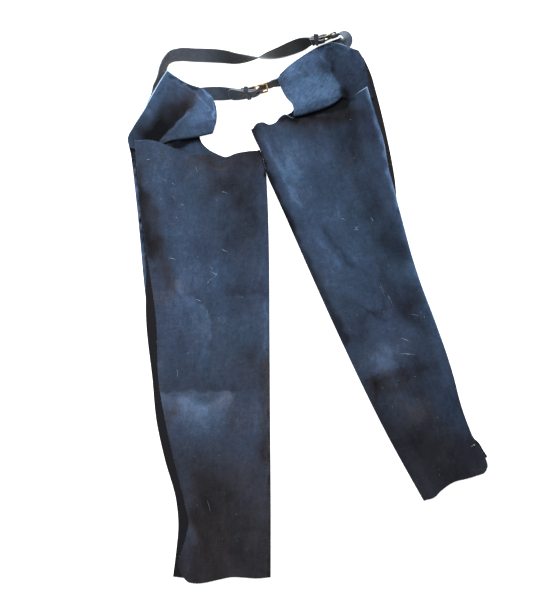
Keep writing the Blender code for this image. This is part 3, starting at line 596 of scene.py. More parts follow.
RIGHT_LEVELS = table(
    Level, (-350, 0.18, 0.6), (-300, 0.19, 0.66), (-240, 0.21, 0.6), (-190, 0.26, 0.42),
    (-140, 0.33, 0.28), (-60, 0.38, 0.14), (60, 0.46, 0.06), (200, 0.44, 0.06), (400, 0.34, 0.08))
RIGHT_BACK_WEAR_AND_SHADE = table(
    Wear, (-28, 246, 66, 26, 106, 0.22, 0.02), (40, 170, 110, 34, 118, 0, -0.05),
    (96, 240, 150, 30, 108, -0.03, 0), (104, 120, 190, 30, 107, -0.05, 0),
    (88, 322, 50, 36, 60, -0.14, 0), (30, 340, 60, 14, 16, -0.1, 0.25),
    (-86, 300, 40, 18, 110, -0.04, 0.2), (76, 262, 26, 18, 90, -0.02, 0.3),
    (36, 152, 38, 8, 58, 0.1, 0), (56, 104, 62, 9, -52, -0.07, 0), (120, -6, 28, 9, 50, -0.1, 0.1),
    (136, -90, 54, 32, 22, 0.26, 0.08), (150, -140, 40, 16, 10, -0.04, 0.35, 0.3),
    (192, -190, 34, 22, -30, 0.1, 0.35), (216, -270, 54, 34, 110, -0.06, 0.1),
    (262, -190, 60, 26, 115, 0.02, -0.45), (234, -52, 26, 12, 115, 0.12, -0.1),
    (20, 60, 70, 22, 122, 0.03, 0.1), (90, -20, 40, 22, 112, -0.12, 0.05),
    (187, -9, 36, 20, 115, -0.18, 0.1), (193, -104, 30, 22, 115, -0.14, 0.05),
    (122, -140, 14, 8, 90, -0.16, 0.35), (36, 274, 16, 8, 0, 0.1, 0), (56, 202, 30, 16, 110, 0.02, 0),
    # The row at (-36, 340) is painted shade at the back half's top corner, beside the yoke's roll.
    (-36, 340, 20, 10, 0, -0.2, 0.1), (150, 110, 60, 14, 107, -0.16, -0.1),
    (173, 92, 50, 13, 107, -0.16, 0))
RIGHT_FRONT_WEAR = table(
    Wear, (120, 350, 80, 18, 105, -0.16, 0), (60, 110, 120, 44, 110, 0.14, 0),
    (150, -100, 60, 40, 20, 0.18, 0.1), (240, -260, 70, 40, 110, -0.08, 0.4))
RIGHT_BACK_SHADES = table(
    Shade,
    # The first stroke is painted shade on the rounded fold, darkest at its edge; the next is a painted
    # highlight just inside it.
    (((-101, 322), (-90, 283), (-77, 243), (-63, 207), (-40, 160), (-18, 117), (7, 63), (32, 13),
      (67, -59)), 9, 16, -0.26, 0.1),
    (((-79, 304), (-59, 265), (-32, 211), (-14, 182)), 5, 4, 0.16, -0.05),
    (((-59, 301), (-36, 265), (-14, 236)), 3.5, 3.5, 0.1, 0),
    (((-49, 290), (-38, 254)), 3, 3, -0.1, 0),
    (((-29, 344), (18, 340), (67, 351)), 16, 24, -0.12, 0.5),
    # Painted shadow under the right yoke's rolled hem.
    (((-32, 340), (13, 349), (67, 365)), 14, 5, -0.5, 0.2),
    (((74, 340), (81, 283), (88, 229), (91, 208)), 48, 6, -0.07, 0),
    # Painted shadow where the two legs touch at the fold, then more painted shade on the upper fold.
    (((-85, 278), (-81, 265), (-78, 252), (-75, 238)), 3, 3, -0.7, 0.1),
    (((-74, 238), (-60, 207), (-42, 168), (-30, 142)), 15, 8, -0.22, 0.05),
    (((109, 162), (115, 139), (128, 81), (144, 22)), 44, 8, -0.07, 0.05),
    (((23, 142), (40, 119), (58, 101), (79, 74)), 4, 2.5, -0.12, 0),
    (((14, 135), (32, 108), (54, 81)), 7, 7, 0.08, 0),
    (((97, 2), (117, -13), (140, -27)), 4, 4, -0.12, 0),
    (((115, -126), (139, -117), (167, -110)), 2.2, 24, -0.1, 0.25),
    (((106, 392), (120, 348), (135, 298), (144, 248), (161, 185)), 4, 4.5, 0.44, -0.1),
    (((167, 162), (187, 88), (206, 30), (226, -20)), 4, 6, 0.16, -0.1))
RIGHT_FRONT_SHADES = table(
    Shade,
    (((112, 392), (152, 260), (196, 60)), 14, 14, -0.35, 0.2),
    # Painted shadow under the right yoke's rolled hem, on the front half.
    (((-45, 346), (-5, 345), (31, 357), (60, 370), (85, 380)), 14, 14, -0.6, 0.1))

PALE_FROM, PALE_REACH = 0.4, 1.9     # mm in from a cut edge, where its pale core fades out
PLAIN_PALE = 0.15
WAVE_COUNT = 7
BEND = 9.0                # mm that the outlines of worn places wander
BEND_SIZE = 60.0
STROKE_BEND = 2.2
STROKE_BEND_SIZE = 26.0


def waves(x, y, size, seed):
    """A slow even field from about -1 to 1: sines in random directions, with lengths round size."""
    rng = np.random.default_rng(seed)
    total = np.zeros_like(x)
    for turn, stretch, phase in rng.uniform((0, 0.6, 0), (2 * pi, 1.5, 2 * pi), (WAVE_COUNT, 3)):
        total += np.sin((x * cos(turn) + y * sin(turn)) * 2 * pi / (size * stretch) + phase)
    return total / np.sqrt(WAVE_COUNT)


def bent(x, y, reach, size, seed):
    """Points moved about by slow waves."""
    return x + reach * waves(x, y, size, seed), y + reach * waves(x, y, size, seed + 1)


def stroke_bell(x, y, row):
    """exp(-(distance to the line / width)^2), with one width on its left side and one on its right."""
    nearest, side = np.full_like(x, np.inf), np.zeros_like(x)
    for a, b in zip(row.points[:-1], row.points[1:]):
        _, away = from_segment(x, y, a, b)
        turned = (b[0] - a[0]) * (y - a[1]) - (b[1] - a[1]) * (x - a[0])
        side = np.where(away < nearest, turned, side)
        nearest = np.minimum(away, nearest)
    return np.exp(-(nearest / np.where(side > 0, row.left, row.right))**2)


def wear_and_shade_bell(x, y, row):
    """exp(-(along / half length)^2 - (across / half width)^2), in the row's own directions."""
    c, s = cos(radians(row.turn)), sin(radians(row.turn))
    dx, dy = x - row.x, y - row.y
    sideways = (dy * c - dx * s) / row.across
    sideways = np.where(sideways > 0, sideways / row.sharp, sideways)
    return np.exp(-((dx * c + dy * s) / row.along)**2 - sideways**2)


def added(x, y, rows, bell):
    """What the rows of a table add to tone and warm at the points, each by its own bell."""
    bells = np.array([bell(x, y, row) for row in rows])
    return np.tensordot([[row.tone for row in rows], [row.warm for row in rows]], bells, 1)


def wear_and_shade_tones(mid, levels, wear_and_shade, shades, seed):
    """Tone and warm over a grid: the plain leather's, and what the places and strokes add."""
    x, y = mid[..., 0], mid[..., 1]
    heights, tones, warms = np.transpose(levels)
    plain = np.array([np.interp(y, heights, tones), np.interp(y, heights, warms)])
    return (plain + added(*bent(x, y, BEND, BEND_SIZE, seed), wear_and_shade, wear_and_shade_bell)
            + added(*bent(x, y, STROKE_BEND, STROKE_BEND_SIZE, seed), shades, stroke_bell))


def paleness(mid, spots):
    """How pale the cut edge is: plain everywhere, more or less near the spots, gone 2 mm in."""
    strength = np.full(mid.shape[:2], PLAIN_PALE)
    for spot in spots:
        away = np.hypot(mid[..., 0] - spot.x, mid[..., 1] - spot.y)
        strength += spot.pale * np.exp(-(away / spot.reach)**2)
    return strength * (1 - smooth_step((from_border(mid) - PALE_FROM) / PALE_REACH))


# %% [markdown]
# ## The legs
# A leg is one panel: its front half on the table, a half circle round the inner leg, and its back half
# on top, which climbs over the closing strip and over the yoke. A cloth simulation of a folded panel
# would slide about, while this one has to end exactly where the photographed one does. So its height is
# a formula: a base that comes down from the fold, plus soft ridges along given lines. The front half is
# hidden and stays flat.

# %% Tables of the legs
LEFT_LEG = Leg(
    fold=(
        (-67, -486), (-67, -346), (-68, -221), (-69, -59), (-70.5, 122), (-72.5, 190), (-74.3, 228),
        (-74.8, 240), (-77.4, 252), (-80.7, 265), (-84.3, 277), (-87.5, 283)),
    back_outer=(
        (-226, -484), (-233, -463), (-224, -430), (-215, -385), (-223, -347), (-241, -275),
        (-257, -203), (-268, -140), (-273, -23), (-288, 85), (-301, 169), (-307, 238), (-311, 299)),
    back_hem=(
        (-226, -484), (-216, -494), (-203, -497), (-185, -496), (-161, -491), (-135, -486),
        (-110, -487), (-90, -488), (-67, -486)),
    back_top=(
        (-311, 299), (-286, 300), (-266, 296), (-252, 290), (-234, 284), (-212, 276), (-167, 275),
        (-146, 271), (-126, 278), (-110, 281), (-87.5, 283)),
    front_outer=(
        (-236, -484), (-230, -436), (-227, -394), (-230, -347), (-250, -275), (-266, -203),
        (-274, -131), (-285, -41), (-294, 31), (-304, 139), (-309.5, 193), (-314.5, 238), (-318.5, 271),
        (-322, 293), (-314, 317)),
    front_hem=((-236, -484), (-194, -486), (-131, -482), (-67, -486)),
    front_top=(
        (-314, 317), (-284, 329), (-239, 337), (-212, 338), (-201, 333), (-195, 319), (-193, 306),
        (-190, 298), (-183, 290), (-174, 283), (-162, 277), (-146, 271), (-126, 269), (-104, 274),
        (-87.5, 283)),
    strip_outer=(
        (-243, -485), (-237, -436), (-233.5, -394), (-237.5, -347), (-257.5, -275), (-273, -203),
        (-280, -131), (-291.5, -23), (-292, 31), (-291, 85), (-298, 139), (-303, 193), (-309, 238),
        (-311, 264)),
    ridges=table(
        Ridge, (-150, 262, -160, 60, 0.9, 0.4, 22), (-215, 250, -205, 90, 0.8, 0.3, 26),
        (-100, -120, -230, -150, 0.9, 0.5, 16)),
    yoke_lift_top=5.6,
    yoke_lift=0.26)

RIGHT_LEG = Leg(
    fold=(
        (208, -349), (172.5, -286), (143, -232), (110, -167), (75.5, -95), (42, -23), (10, 48),
        (-18, 111), (-42.2, 166), (-62.6, 211), (-70.4, 228), (-74.6, 240), (-77.4, 252), (-80.7, 265),
        (-84.4, 277), (-88.5, 287), (-95.5, 301), (-103, 319)),
    back_outer=(
        (320, -294), (323, -286), (320, -274), (310, -256), (299, -239), (290, -218), (275, -176),
        (261, -122), (246, -74), (224, -13), (206, 34), (188, 88), (168, 162), (154, 215), (145, 248),
        (136, 298), (120, 350), (106, 396)),
    back_hem=(
        (320, -294), (316, -299), (308, -302), (286, -309), (261, -316), (237, -332), (224, -344),
        (208, -349)),
    back_top=(
        (106, 396), (77, 377), (59, 364), (31, 350), (-5, 340), (-32, 340), (-45, 346), (-53, 341),
        (-61, 331), (-73, 327), (-84, 331), (-96, 328), (-103, 319)),
    front_outer=(
        (313, -286), (297, -252), (284, -221), (269, -176), (255, -122), (239, -74), (218, -13),
        (200, 34), (183, 88), (163, 162), (153, 231), (146, 272), (139, 306), (128, 358), (118, 396),
        (112, 414)),
    front_hem=((313, -286), (286, -304), (261, -312), (234, -328), (208, -349)),
    front_top=(
        (112, 414), (76, 398), (31, 380), (-9, 366), (-23, 360), (-33, 349), (-45, 344), (-58, 329),
        (-72, 320), (-88, 318), (-103, 319)),
    strip_outer=(
        (323, -269), (315, -257), (308, -245), (298, -235), (286, -211), (273, -176), (258, -122),
        (243, -74), (221, -13), (203, 34), (186, 88), (166, 162), (161, 185), (156, 231), (149, 272),
        (142, 306), (130, 358), (120, 396), (115, 414), (107, 434), (99, 450)),
    ridges=table(
        Ridge, (-60, 318, 10, 160, 1.2, 0.4, 16), (-20, 330, 60, 140, 0.8, 0.3, 18),
        (110, -120, 190, -130, 0.8, 0.6, 16)),
    yoke_lift_top=6.9,
    yoke_lift=0.42)

# Fine creases are only in the finished leather, in the same form as the ridges.
LEFT_CREASES = table(
    Ridge, (-222, 60, -232, 6, 0.9, 0.3, 5), (-250, -148, -150, -156, 1, 0.3, 5),
    (-96, 118, -84, 30, 0.7, 0.2, 7), (-130, -40, -84, -120, 0.7, 0.3, 8),
    (-185, 210, -150, 176, 0.6, 0.2, 7), (-262, 214, -246, 120, 0.8, 0.3, 9),
    (-205, -210, -120, -196, 0.7, 0.2, 9), (-110, -300, -92, -420, 0.6, 0.3, 8),
    (-196, -330, -206, -440, 0.7, 0.2, 9), (-140, -250, -170, -310, 0.5, 0.2, 8),
    (-240, -20, -232, -92, 0.6, 0.2, 8), (-168, 18, -90, 14, 0.5, 0.2, 6))
RIGHT_CREASES = table(
    Ridge, (-72, 318, -52, 248, 0.9, 0.4, 5), (-52, 248, -32, 218, 0.8, 0.2, 5),
    (-58, 300, -16, 238, 1, 0.3, 5), (-44, 280, -38, 254, 0.5, 0.2, 4), (20, 152, 50, 130, 0.9, 0.4, 5),
    (30, 128, 86, 76, 0.7, 0.3, 7), (104, -4, 132, -22, 0.9, 0.3, 5),
    (118, -134, 172, -112, 1.1, 0.4, 5), (150, -164, 196, -176, 0.8, 0.3, 6),
    (60, 300, 96, 220, 0.7, 0.3, 9), (110, 180, 132, 90, 0.6, 0.2, 10),
    (180, -230, 232, -312, 0.6, 0.3, 9), (244, -226, 270, -280, 0.6, 0.3, 8),
    (66, 20, 110, -60, 0.6, 0.2, 10))

LEFT_SPOTS = table(
    Spot, (-300, 300, 26, 0.15), (-225, 280, 30, 0.15), (-318, 270, 60, 0.3), (-278, 10, 60, 0.25),
    (-262, -170, 70, 0.2), (-236, -480, 40, 0.3))
RIGHT_SPOTS = table(
    Spot, (-48, 345, 14, 0.9), (-32, 341, 14, 0.7), (148, 290, 40, 0.7), (162, 180, 60, 0.8),
    (196, 60, 60, 0.6), (230, -40, 60, 0.8), (104, 392, 20, 0.9), (316, -296, 30, 0.3),
    # The two spots of negative paleness hide the pale cut edge where the yoke's roll shades the top
    # edge: painted shade.
    (2, 342, 28, -0.9), (52, 360, 24, -0.9))

# %% Shape of a leg
LEG_ROW_STEP = 3.2
BACK_STEP = 2.25
FRONT_STEP = 6.0
BEND_STEPS = 9
LEG_LENGTH, LEG_WIDTH = 820.0, 215.0     # what the steps are counted on
UNDULATION = 0.35         # mm, slow unevenness of the upper half
UNDULATION_SIZE = 70.0
TONE_DRIFT, TONE_DRIFT_SIZE = 0.03, 90.0
FOLD_STIFF = 20.0         # no crease reaches nearer to the fold
STRIP_REACH, STRIP_SETTLE = 34.0, 22.0
YOKE_REACH, YOKE_SETTLE = 30.0, 40.0
YOKE_SIDE_SETTLE = 0.15   # share of the leg's width


def inset_fold(leg, v):
    """The fold's outline moved in by its own radius, and the unit direction that points out of it."""
    fold = edge(leg.fold, v)
    outer = edge(leg.back_outer, v)
    forward = mean_direction(fold, 0)
    out = np.column_stack([forward[:, 1], -forward[:, 0]])
    out *= np.sign(np.sum(out * (fold - outer), axis=1))[:, None]
    return fold - out * (FOLD_RADIUS + WALL / 2), out


def back_height(leg, xy, u, creases, seed):
    """The back half's middle: down from the fold, up over strip and yoke, with ridges and creases."""
    from_fold = np.linalg.norm(xy - xy[:, -1:], axis=2)
    from_outer = np.linalg.norm(xy - xy[:, :1], axis=2)
    from_top = np.linalg.norm(xy - xy[-1:], axis=2)
    fold_top = FRONT_MID + 2 * FOLD_RADIUS
    height = BACK_REST + (fold_top - BACK_REST) * (1 - smooth_step(from_fold / FOLD_SETTLE))
    near_outer = 1 - smooth_step((from_outer - STRIP_REACH) / STRIP_SETTLE)
    over_strip = BACK_REST + (OVER_STRIP - BACK_REST) * near_outer
    beside_yoke = 1 - smooth_step((u[None, :] - leg.yoke_lift) / YOKE_SIDE_SETTLE)
    near_top = 1 - smooth_step((from_top - YOKE_REACH) / YOKE_SETTLE)
    over_yoke = BACK_REST + (leg.yoke_lift_top - BACK_REST) * near_top * beside_yoke
    height = np.maximum(np.maximum(height, over_strip), over_yoke)
    x, y = xy[..., 0], xy[..., 1]
    uneven = UNDULATION * (1 + waves(x, y, UNDULATION_SIZE, seed) * 0.5).clip(0)
    raised = ridge_height(x, y, leg.ridges) + ridge_height(x, y, creases) + uneven
    return height + raised * smooth_step(from_fold / FOLD_STIFF)


def leg_half(fold, v, outer, hem, top, step):
    """Shares of the width from the outer edge to the fold, and half a panel's outline spanned there."""
    u = shares(LEG_WIDTH, step, end=False)
    return u, patch(edge(outer, v), fold, edge(hem, u), edge(top, u), u, v)


def leg_sheet(leg, creases, seed):
    """Middle points of one panel, from its front outer edge round the fold to its back outer edge."""
    v = shares(LEG_LENGTH, LEG_ROW_STEP)
    fold, out = inset_fold(leg, v)
    _, front_xy = leg_half(fold, v, leg.front_outer, leg.front_hem, leg.front_top, FRONT_STEP)
    u, back_xy = leg_half(fold, v, leg.back_outer, leg.back_hem, leg.back_top, BACK_STEP)
    turn = pi * np.arange(1, BEND_STEPS) / BEND_STEPS
    bend_xy = fold[:, None] + out[:, None] * (FOLD_RADIUS * np.sin(turn))[None, :, None]
    front = with_height(front_xy, FRONT_MID)
    bend = with_height(bend_xy, FRONT_MID + FOLD_RADIUS * (1 - np.cos(turn)))
    back = with_height(back_xy, back_height(leg, back_xy, u, creases, seed))
    return np.concatenate([front, bend, back[:, ::-1]], axis=1), front.shape[1]


def make_leg(name, leg, creases, levels, back, front, spots, seed):
    """A leg's wall with its tone, warm and pale measures. Back and front are (wear, shades)."""
    mid, front_cols = leg_sheet(leg, creases, seed)
    tone, warm = wear_and_shade_tones(mid, levels, *back, seed)
    front_tone, front_warm = wear_and_shade_tones(mid, levels, *front, seed + 2)
    tone[:, :front_cols] = front_tone[:, :front_cols]
    warm[:, :front_cols] = front_warm[:, :front_cols]
    tone += TONE_DRIFT * waves(mid[..., 0], mid[..., 1], TONE_DRIFT_SIZE, seed + 4)
    piece = wall(name, mid, WALL, tone=tone, warm=warm, pale=paleness(mid, spots))
    return piece, mid[:, front_cols + BEND_STEPS:]


left_leg, left_back = make_leg("left_leg", LEFT_LEG, LEFT_CREASES, LEFT_LEVELS,
                               (LEFT_BACK_WEAR, LEFT_BACK_SHADES),
                               (LEFT_FRONT_WEAR_AND_SHADE, LEFT_FRONT_SHADES), LEFT_SPOTS, 3)
right_leg, right_back = make_leg("right_leg", RIGHT_LEG, RIGHT_CREASES, RIGHT_LEVELS,
                                 (RIGHT_BACK_WEAR_AND_SHADE, RIGHT_BACK_SHADES),
                                 (RIGHT_FRONT_WEAR, RIGHT_FRONT_SHADES), RIGHT_SPOTS, 11)
belongs(left_leg, LEFT_SUEDE, "suede", "leg_left")
belongs(right_leg, RIGHT_SUEDE, "suede", "leg_right")

# %% [markdown]
# ## The closing strips
# The outer side of each leg is open, and a smooth dark strip is sewn along its front half. It
# tapers at its top. A ribbon curve with an extrusion would do, but its inner edge has to stay on
# the leather, so its rows run square to the outer edge.

# %% The closing strips
STRIP_ROW_STEP = 3.0
STRIP_LENGTH = 770.0
STRIP_COLS = (0, 0.35, 0.9, 2.0, 8.0, 14.5, 21.0, 27.0, 28.1, 28.65, 29.0)


def strip_sheet(leg, inward):
    """Rows square to the outer edge, narrower over the last stretch, lying on the front half."""
    height = FRONT_MID + WALL / 2 + SEAM_GAP + STRIP_WALL / 2
    outer = edge(leg.strip_outer, shares(STRIP_LENGTH, STRIP_ROW_STEP))
    forward = mean_direction(outer, 0)
    side = np.column_stack([forward[:, 1], -forward[:, 0]])
    side *= inward * np.sign(side[:, :1])
    below_top = np.linalg.norm(outer - outer[-1], axis=1)
    width = STRIP_TOP_WIDTH + (STRIP_WIDTH - STRIP_TOP_WIDTH) * smooth_step(below_top / STRIP_TAPER)
    across = np.array(STRIP_COLS) / STRIP_WIDTH
    xy = outer[:, None] + side[:, None] * (width[:, None] * across)[..., None]
    return with_height(xy, height)


def strip_finish():
    """Smooth, nearly black leather: a fine grain, dust along it and a dull wax gloss."""
    finish = Finish("closing strip leather")
    grain = finish.noise(0.0016, 3.0, 0.6)
    dust = finish.noise(0.02, 3.0, 0.6, finish.along_turn(90, 3.3))
    tone = 0.42 + grain * 0.3 + dust * 0.6
    colour = finish.ramp(tone, ((0.0, (6, 6, 9)), (0.5, (20, 20, 27)), (1.0, (46, 48, 57))))
    finish.put(finish.shader, {"Base Color": colour, "Roughness": (0.72 + dust * 0.3).clamp(),
                               "Specular IOR Level": 0.18})
    finish.bump(grain, 0.0003, 0.7)
    return finish.material


STRIP_LEATHER = strip_finish()
for side, leg, inward in (("left", LEFT_LEG, 1), ("right", RIGHT_LEG, -1)):
    strip_piece = wall(f"{side}_closing_strip", strip_sheet(leg, inward), STRIP_WALL)
    belongs(strip_piece, STRIP_LEATHER, "closing_strip", f"side_tape_{side}")

# %% [markdown]
# ## The yokes
# A yoke is the hip piece, sewn over the top of the front half and shown with its napped inner face
# up. Its lower edge bulges out and rolls under, which throws the darkest shadow on the chaps. A
# simulation could curl it, but the roll's size shows clearly, so its section is a formula: a half
# circle and a short return where it is fully rolled, a flat run where it lies under the leg, and
# a blend of the two between.

# %% Tables of the yokes
Yoke = namedtuple("Yoke", "outer top front lower rest ridges")

LEFT_YOKE = Yoke(
    outer=((-322, 288), (-324.5, 302), (-314, 325), (-292, 360), (-277, 386), (-266, 405), (-253, 425)),
    top=((-253, 425), (-238, 415), (-214, 401), (-192, 394)),
    front=((-170, 316), (-165, 331), (-164, 349), (-168, 369), (-176, 382), (-184, 389), (-192, 394)),
    lower=table(
        Hem, (-322, 288, 3.3, 3.1, 0), (-302, 284, 3.3, 3.1, 0), (-281, 284, 3.3, 3.1, 0),
        (-268, 288, 3.4, 3.1, 0), (-259, 296, 3.6, 3.1, 0.03), (-249, 301, 5.8, 3.1, 0.2),
        (-238, 304, 8.8, 3.1, 0.65), (-226, 306, 10.7, 3.1, 0.95), (-210, 308, 11.2, 3.1, 1),
        (-193, 311, 11.3, 3.1, 1), (-170, 316, 11.2, 3.1, 1)),
    rest=4.1,
    ridges=table(Ridge, (-256, 318, -222, 350, 2, 1, 12), (-284, 374, -256, 422, 10.5, 10, 13)))

RIGHT_YOKE = Yoke(
    outer=((117, 378), (111, 401), (105, 425), (99, 447), (91, 461)),
    top=(
        (91, 461), (79, 465), (68, 469), (57, 473), (41, 475), (31, 473), (7, 462), (-21, 443),
        (-35, 432), (-51, 416)),
    front=((-26, 346), (-28, 363), (-39, 376), (-50, 396), (-54, 406), (-51, 416)),
    lower=table(
        Hem, (117, 378, 4.8, 4.8, 0), (97, 372, 4.8, 4.8, 0), (79, 371, 4.8, 4.7, 0),
        (70, 378, 4.9, 4.6, 0), (61, 379, 6.2, 4.2, 0.2), (50, 372, 9, 3.4, 0.7),
        (38, 366, 10.8, 3.1, 1), (11, 356, 11.4, 3.1, 1), (-9, 350, 11.4, 3.1, 1),
        (-26, 346, 11.2, 3.1, 1)),
    rest=4.8,
    ridges=table(
        Ridge, (-58, 408, 4, 442, 22.5, 2, 20), (56, 474, 82, 468, 4, 2, 15),
        (62, 384, 36, 440, 1.2, 0.6, 12)))

LEFT_YOKE_CREASES = table(
    Ridge, (-252, 306, -214, 346, 1.6, 0.8, 4), (-214, 346, -208, 380, 0.9, 0.3, 4),
    (-196, 330, -184, 352, 0.7, 0.3, 7), (-280, 330, -262, 352, 0.5, 0.2, 6))
RIGHT_YOKE_CREASES = table(
    Ridge, (-20, 380, 10, 402, 0.8, 0.3, 7), (20, 372, 34, 420, 0.8, 0.4, 8),
    (46, 400, 40, 456, 0.9, 0.4, 5), (-34, 404, -8, 420, 0.6, 0.3, 6))

LEFT_YOKE_WEAR = table(
    Wear, (-268, 318, 44, 26, 58, -0.42, 0.25), (-196, 352, 30, 22, 70, 0.14, -0.1),
    (-246, 300, 22, 5, 50, 0.16, 0.1), (-240, 396, 26, 12, -35, 0.02, 0.1),
    (-276, 372, 60, 8, 60, 0.1, 0), (-206, 318, 34, 9, 4, -0.06, 0), (-298, 306, 28, 14, 60, -0.2, 0))
RIGHT_YOKE_WEAR_AND_SHADE = table(
    Wear, (-4, 400, 40, 28, 30, 0.17, -0.1), (34, 384, 24, 18, 60, 0.12, -0.1),
    (76, 400, 60, 24, 100, -0.08, 0), (60, 384, 22, 12, 90, -0.1, 0),
    # The row at (-10, 350) is painted shade along the rolled hem.
    (-36, 398, 36, 18, 64, 0.26, 0.15), (52, 466, 20, 7, -10, 0.18, 0), (-10, 350, 40, 7, 14, -0.1, 0),
    (67, 378, 14, 9, 0, -0.25, 0.1))
LEFT_YOKE_SHADES = table(
    Shade,
    # Darker to the left of the crease, with a sharp edge along it.
    (((-266, 302), (-245, 326), (-222, 349)), 30, 2.5, -0.3, 0.42),
    (((-219, 356), (-206, 376)), 20, 16, -0.09, 0.35),
    # Painted highlight on the raised edge of the crease.
    (((-264, 302), (-242, 324), (-216, 348)), 1.6, 4, 0.16, -0.1),
    (((-200, 372), (-192, 340)), 12, 8, 0.06, 0),
    (((-292, 358), (-277, 382), (-265, 401), (-250, 421)), 8, 10, 0.12, -0.1),
    (((-248, 416), (-223, 403), (-198, 391)), 2, 2, -0.32, 0),
    (((-223.5, 403), (-221.5, 402)), 2.2, 2.2, 0.5, -0.1),
    (((-193, 393), (-179, 382), (-171, 372), (-167, 340)), 1.4, 1.4, 0.4, -0.1),
    (((-201, 382), (-184, 367), (-177, 349)), 1.4, 1.4, 0.26, -0.1),
    (((-183, 350), (-170, 350), (-168, 339), (-182, 339)), 1.4, 1.4, 0.14, 0),
    (((-266, 296), (-256, 303)), 3, 5, 0.2, 0),
    (((-250, 410), (-225, 397), (-200, 385)), 2, 2, 0.1, 0),
    (((-194, 394), (-180, 387), (-171, 373)), 4, 4, 0.14, -0.1))
RIGHT_YOKE_SHADES = table(
    Shade,
    (((36, 473), (36, 444), (46, 422), (57, 400), (65, 382), (58, 367)), 60, 3, -0.26, 0),
    (((26, 433), (43, 425)), 10, 9, -0.25, 0),
    # Painted shade on the lower part of the rolled hem.
    (((2, 355), (11, 358), (38, 368), (52, 375)), 7, 4, -0.14, 0),
    (((106, 424), (115, 385)), 8, 13, -0.17, 0),
    (((-18, 422), (-15, 421)), 1.6, 1.6, 0.35, -0.1),
    # Painted highlight on the lit lip of the top edge.
    (((31, 468), (52, 472), (79, 464)), 3, 3, 0.25, -0.2),
    (((25, 470), (27, 445)), 5, 4, 0.1, 0))
LEFT_YOKE_LEVELS = table(Level, (280, 0.5, 0.05), (430, 0.5, 0.05))
RIGHT_YOKE_LEVELS = table(Level, (340, 0.52, 0), (480, 0.53, 0))
LEFT_YOKE_SPOTS = table(Spot, (-284, 372, 60, 1.4), (-256, 422, 24, 0.6))
RIGHT_YOKE_SPOTS = table(Spot, (52, 474, 26, 0.8), (-52, 406, 20, 0.2))

# %% Shape of a yoke
ROLL_RADIUS = 4.0
RETURN_RUN = 7.0          # what goes back under, to the seam
ROLLED_SHARE = 0.55
FLAT_RUN = 5.0
BULGE_REACH = 0.6
HEM_PLAIN = 0.2           # share of the depth over which ridges fade in from the hem
HEM_STEPS = 22
UNDERSIDE_SHADE = 0.6     # painted shade on the roll's underside
YOKE_WIDTH, YOKE_DEPTH = 150.0, 105.0
YOKE_STEP = 1.5


def yoke_hem(sheet, lower):
    """The hem past a sheet's first row: a half circle and a return run by curl, else a flat run."""
    t = np.linspace(0, 1, HEM_STEPS + 1)[1:, None]
    turn = pi * np.minimum(t / ROLLED_SHARE, 1)
    returned = np.maximum(t - ROLLED_SHARE, 0) / (1 - ROLLED_SHARE)
    curl = np.clip(lower[:, 4], 0, 1)
    drop = lower[:, 2] - lower[:, 3]
    run = curl * (ROLL_RADIUS * np.sin(turn) - RETURN_RUN * returned) + (1 - curl) * FLAT_RUN * t
    fall = drop * (curl * (1 - np.cos(turn)) / 2 + (1 - curl) * smooth_step(t))
    away = unit(sheet[0, :, :2] - sheet[1, :, :2])
    xy = sheet[0, None, :, :2] + away[None] * run[..., None]
    return with_height(xy, sheet[0, None, :, 2] - fall)


def yoke_sheet(yoke, creases):
    """A patch of the four edges, its height falling from the bulge to its rest, plus the ridges."""
    u, v = shares(YOKE_WIDTH, YOKE_STEP), shares(YOKE_DEPTH, YOKE_STEP, start=False)
    lower = edge(yoke.lower, u)
    xy = patch(edge(yoke.outer, v), edge(yoke.front, v), lower[:, :2], edge(yoke.top, u), u, v)
    bulge = 1 - smooth_step(v / BULGE_REACH)[:, None]
    height = yoke.rest + (lower[None, :, 2] - yoke.rest) * bulge
    x, y = xy[..., 0], xy[..., 1]
    raised = ridge_height(x, y, yoke.ridges) + ridge_height(x, y, creases)
    height = height + raised * smooth_step(v / HEM_PLAIN)[:, None]
    sheet = with_height(xy, height)
    return np.concatenate([yoke_hem(sheet, lower)[::-1], sheet])


def make_yoke(name, yoke, creases, levels, wear_and_shade, shades, spots, seed):
    """A yoke's wall with its three measures, and the middle of what lies above its roll."""
    mid = yoke_sheet(yoke, creases)
    tone, warm = wear_and_shade_tones(mid, levels, wear_and_shade, shades, seed)
    # Painted shade on the rolled hem's underside.
    under = smooth_step((HEM_STEPS - np.arange(len(mid))) / (HEM_STEPS * ROLLED_SHARE))
    tone -= UNDERSIDE_SHADE * under[:, None]
    return wall(name, mid, WALL, tone=tone, warm=warm, pale=paleness(mid, spots)), mid[HEM_STEPS + 2:]


left_yoke, left_yoke_top = make_yoke("left_yoke", LEFT_YOKE, LEFT_YOKE_CREASES, LEFT_YOKE_LEVELS,
                                     LEFT_YOKE_WEAR, LEFT_YOKE_SHADES, LEFT_YOKE_SPOTS, 21)
right_yoke, right_yoke_top = make_yoke("right_yoke", RIGHT_YOKE, RIGHT_YOKE_CREASES,
                                       RIGHT_YOKE_LEVELS, RIGHT_YOKE_WEAR_AND_SHADE, RIGHT_YOKE_SHADES,
                                       RIGHT_YOKE_SPOTS, 27)
SMOOTH_NAP = suede("smooth yoke suede", 40, YOKE_CORE, 0.07, 0.6, fibre_contrast=0.25)
FIBROUS_NAP = suede("fibrous yoke suede", -25, YOKE_CORE, 0.06, 0.9, fibre_contrast=0.6)
belongs(left_yoke, SMOOTH_NAP, "suede", "yoke_left")
belongs(right_yoke, FIBROUS_NAP, "suede", "yoke_right")

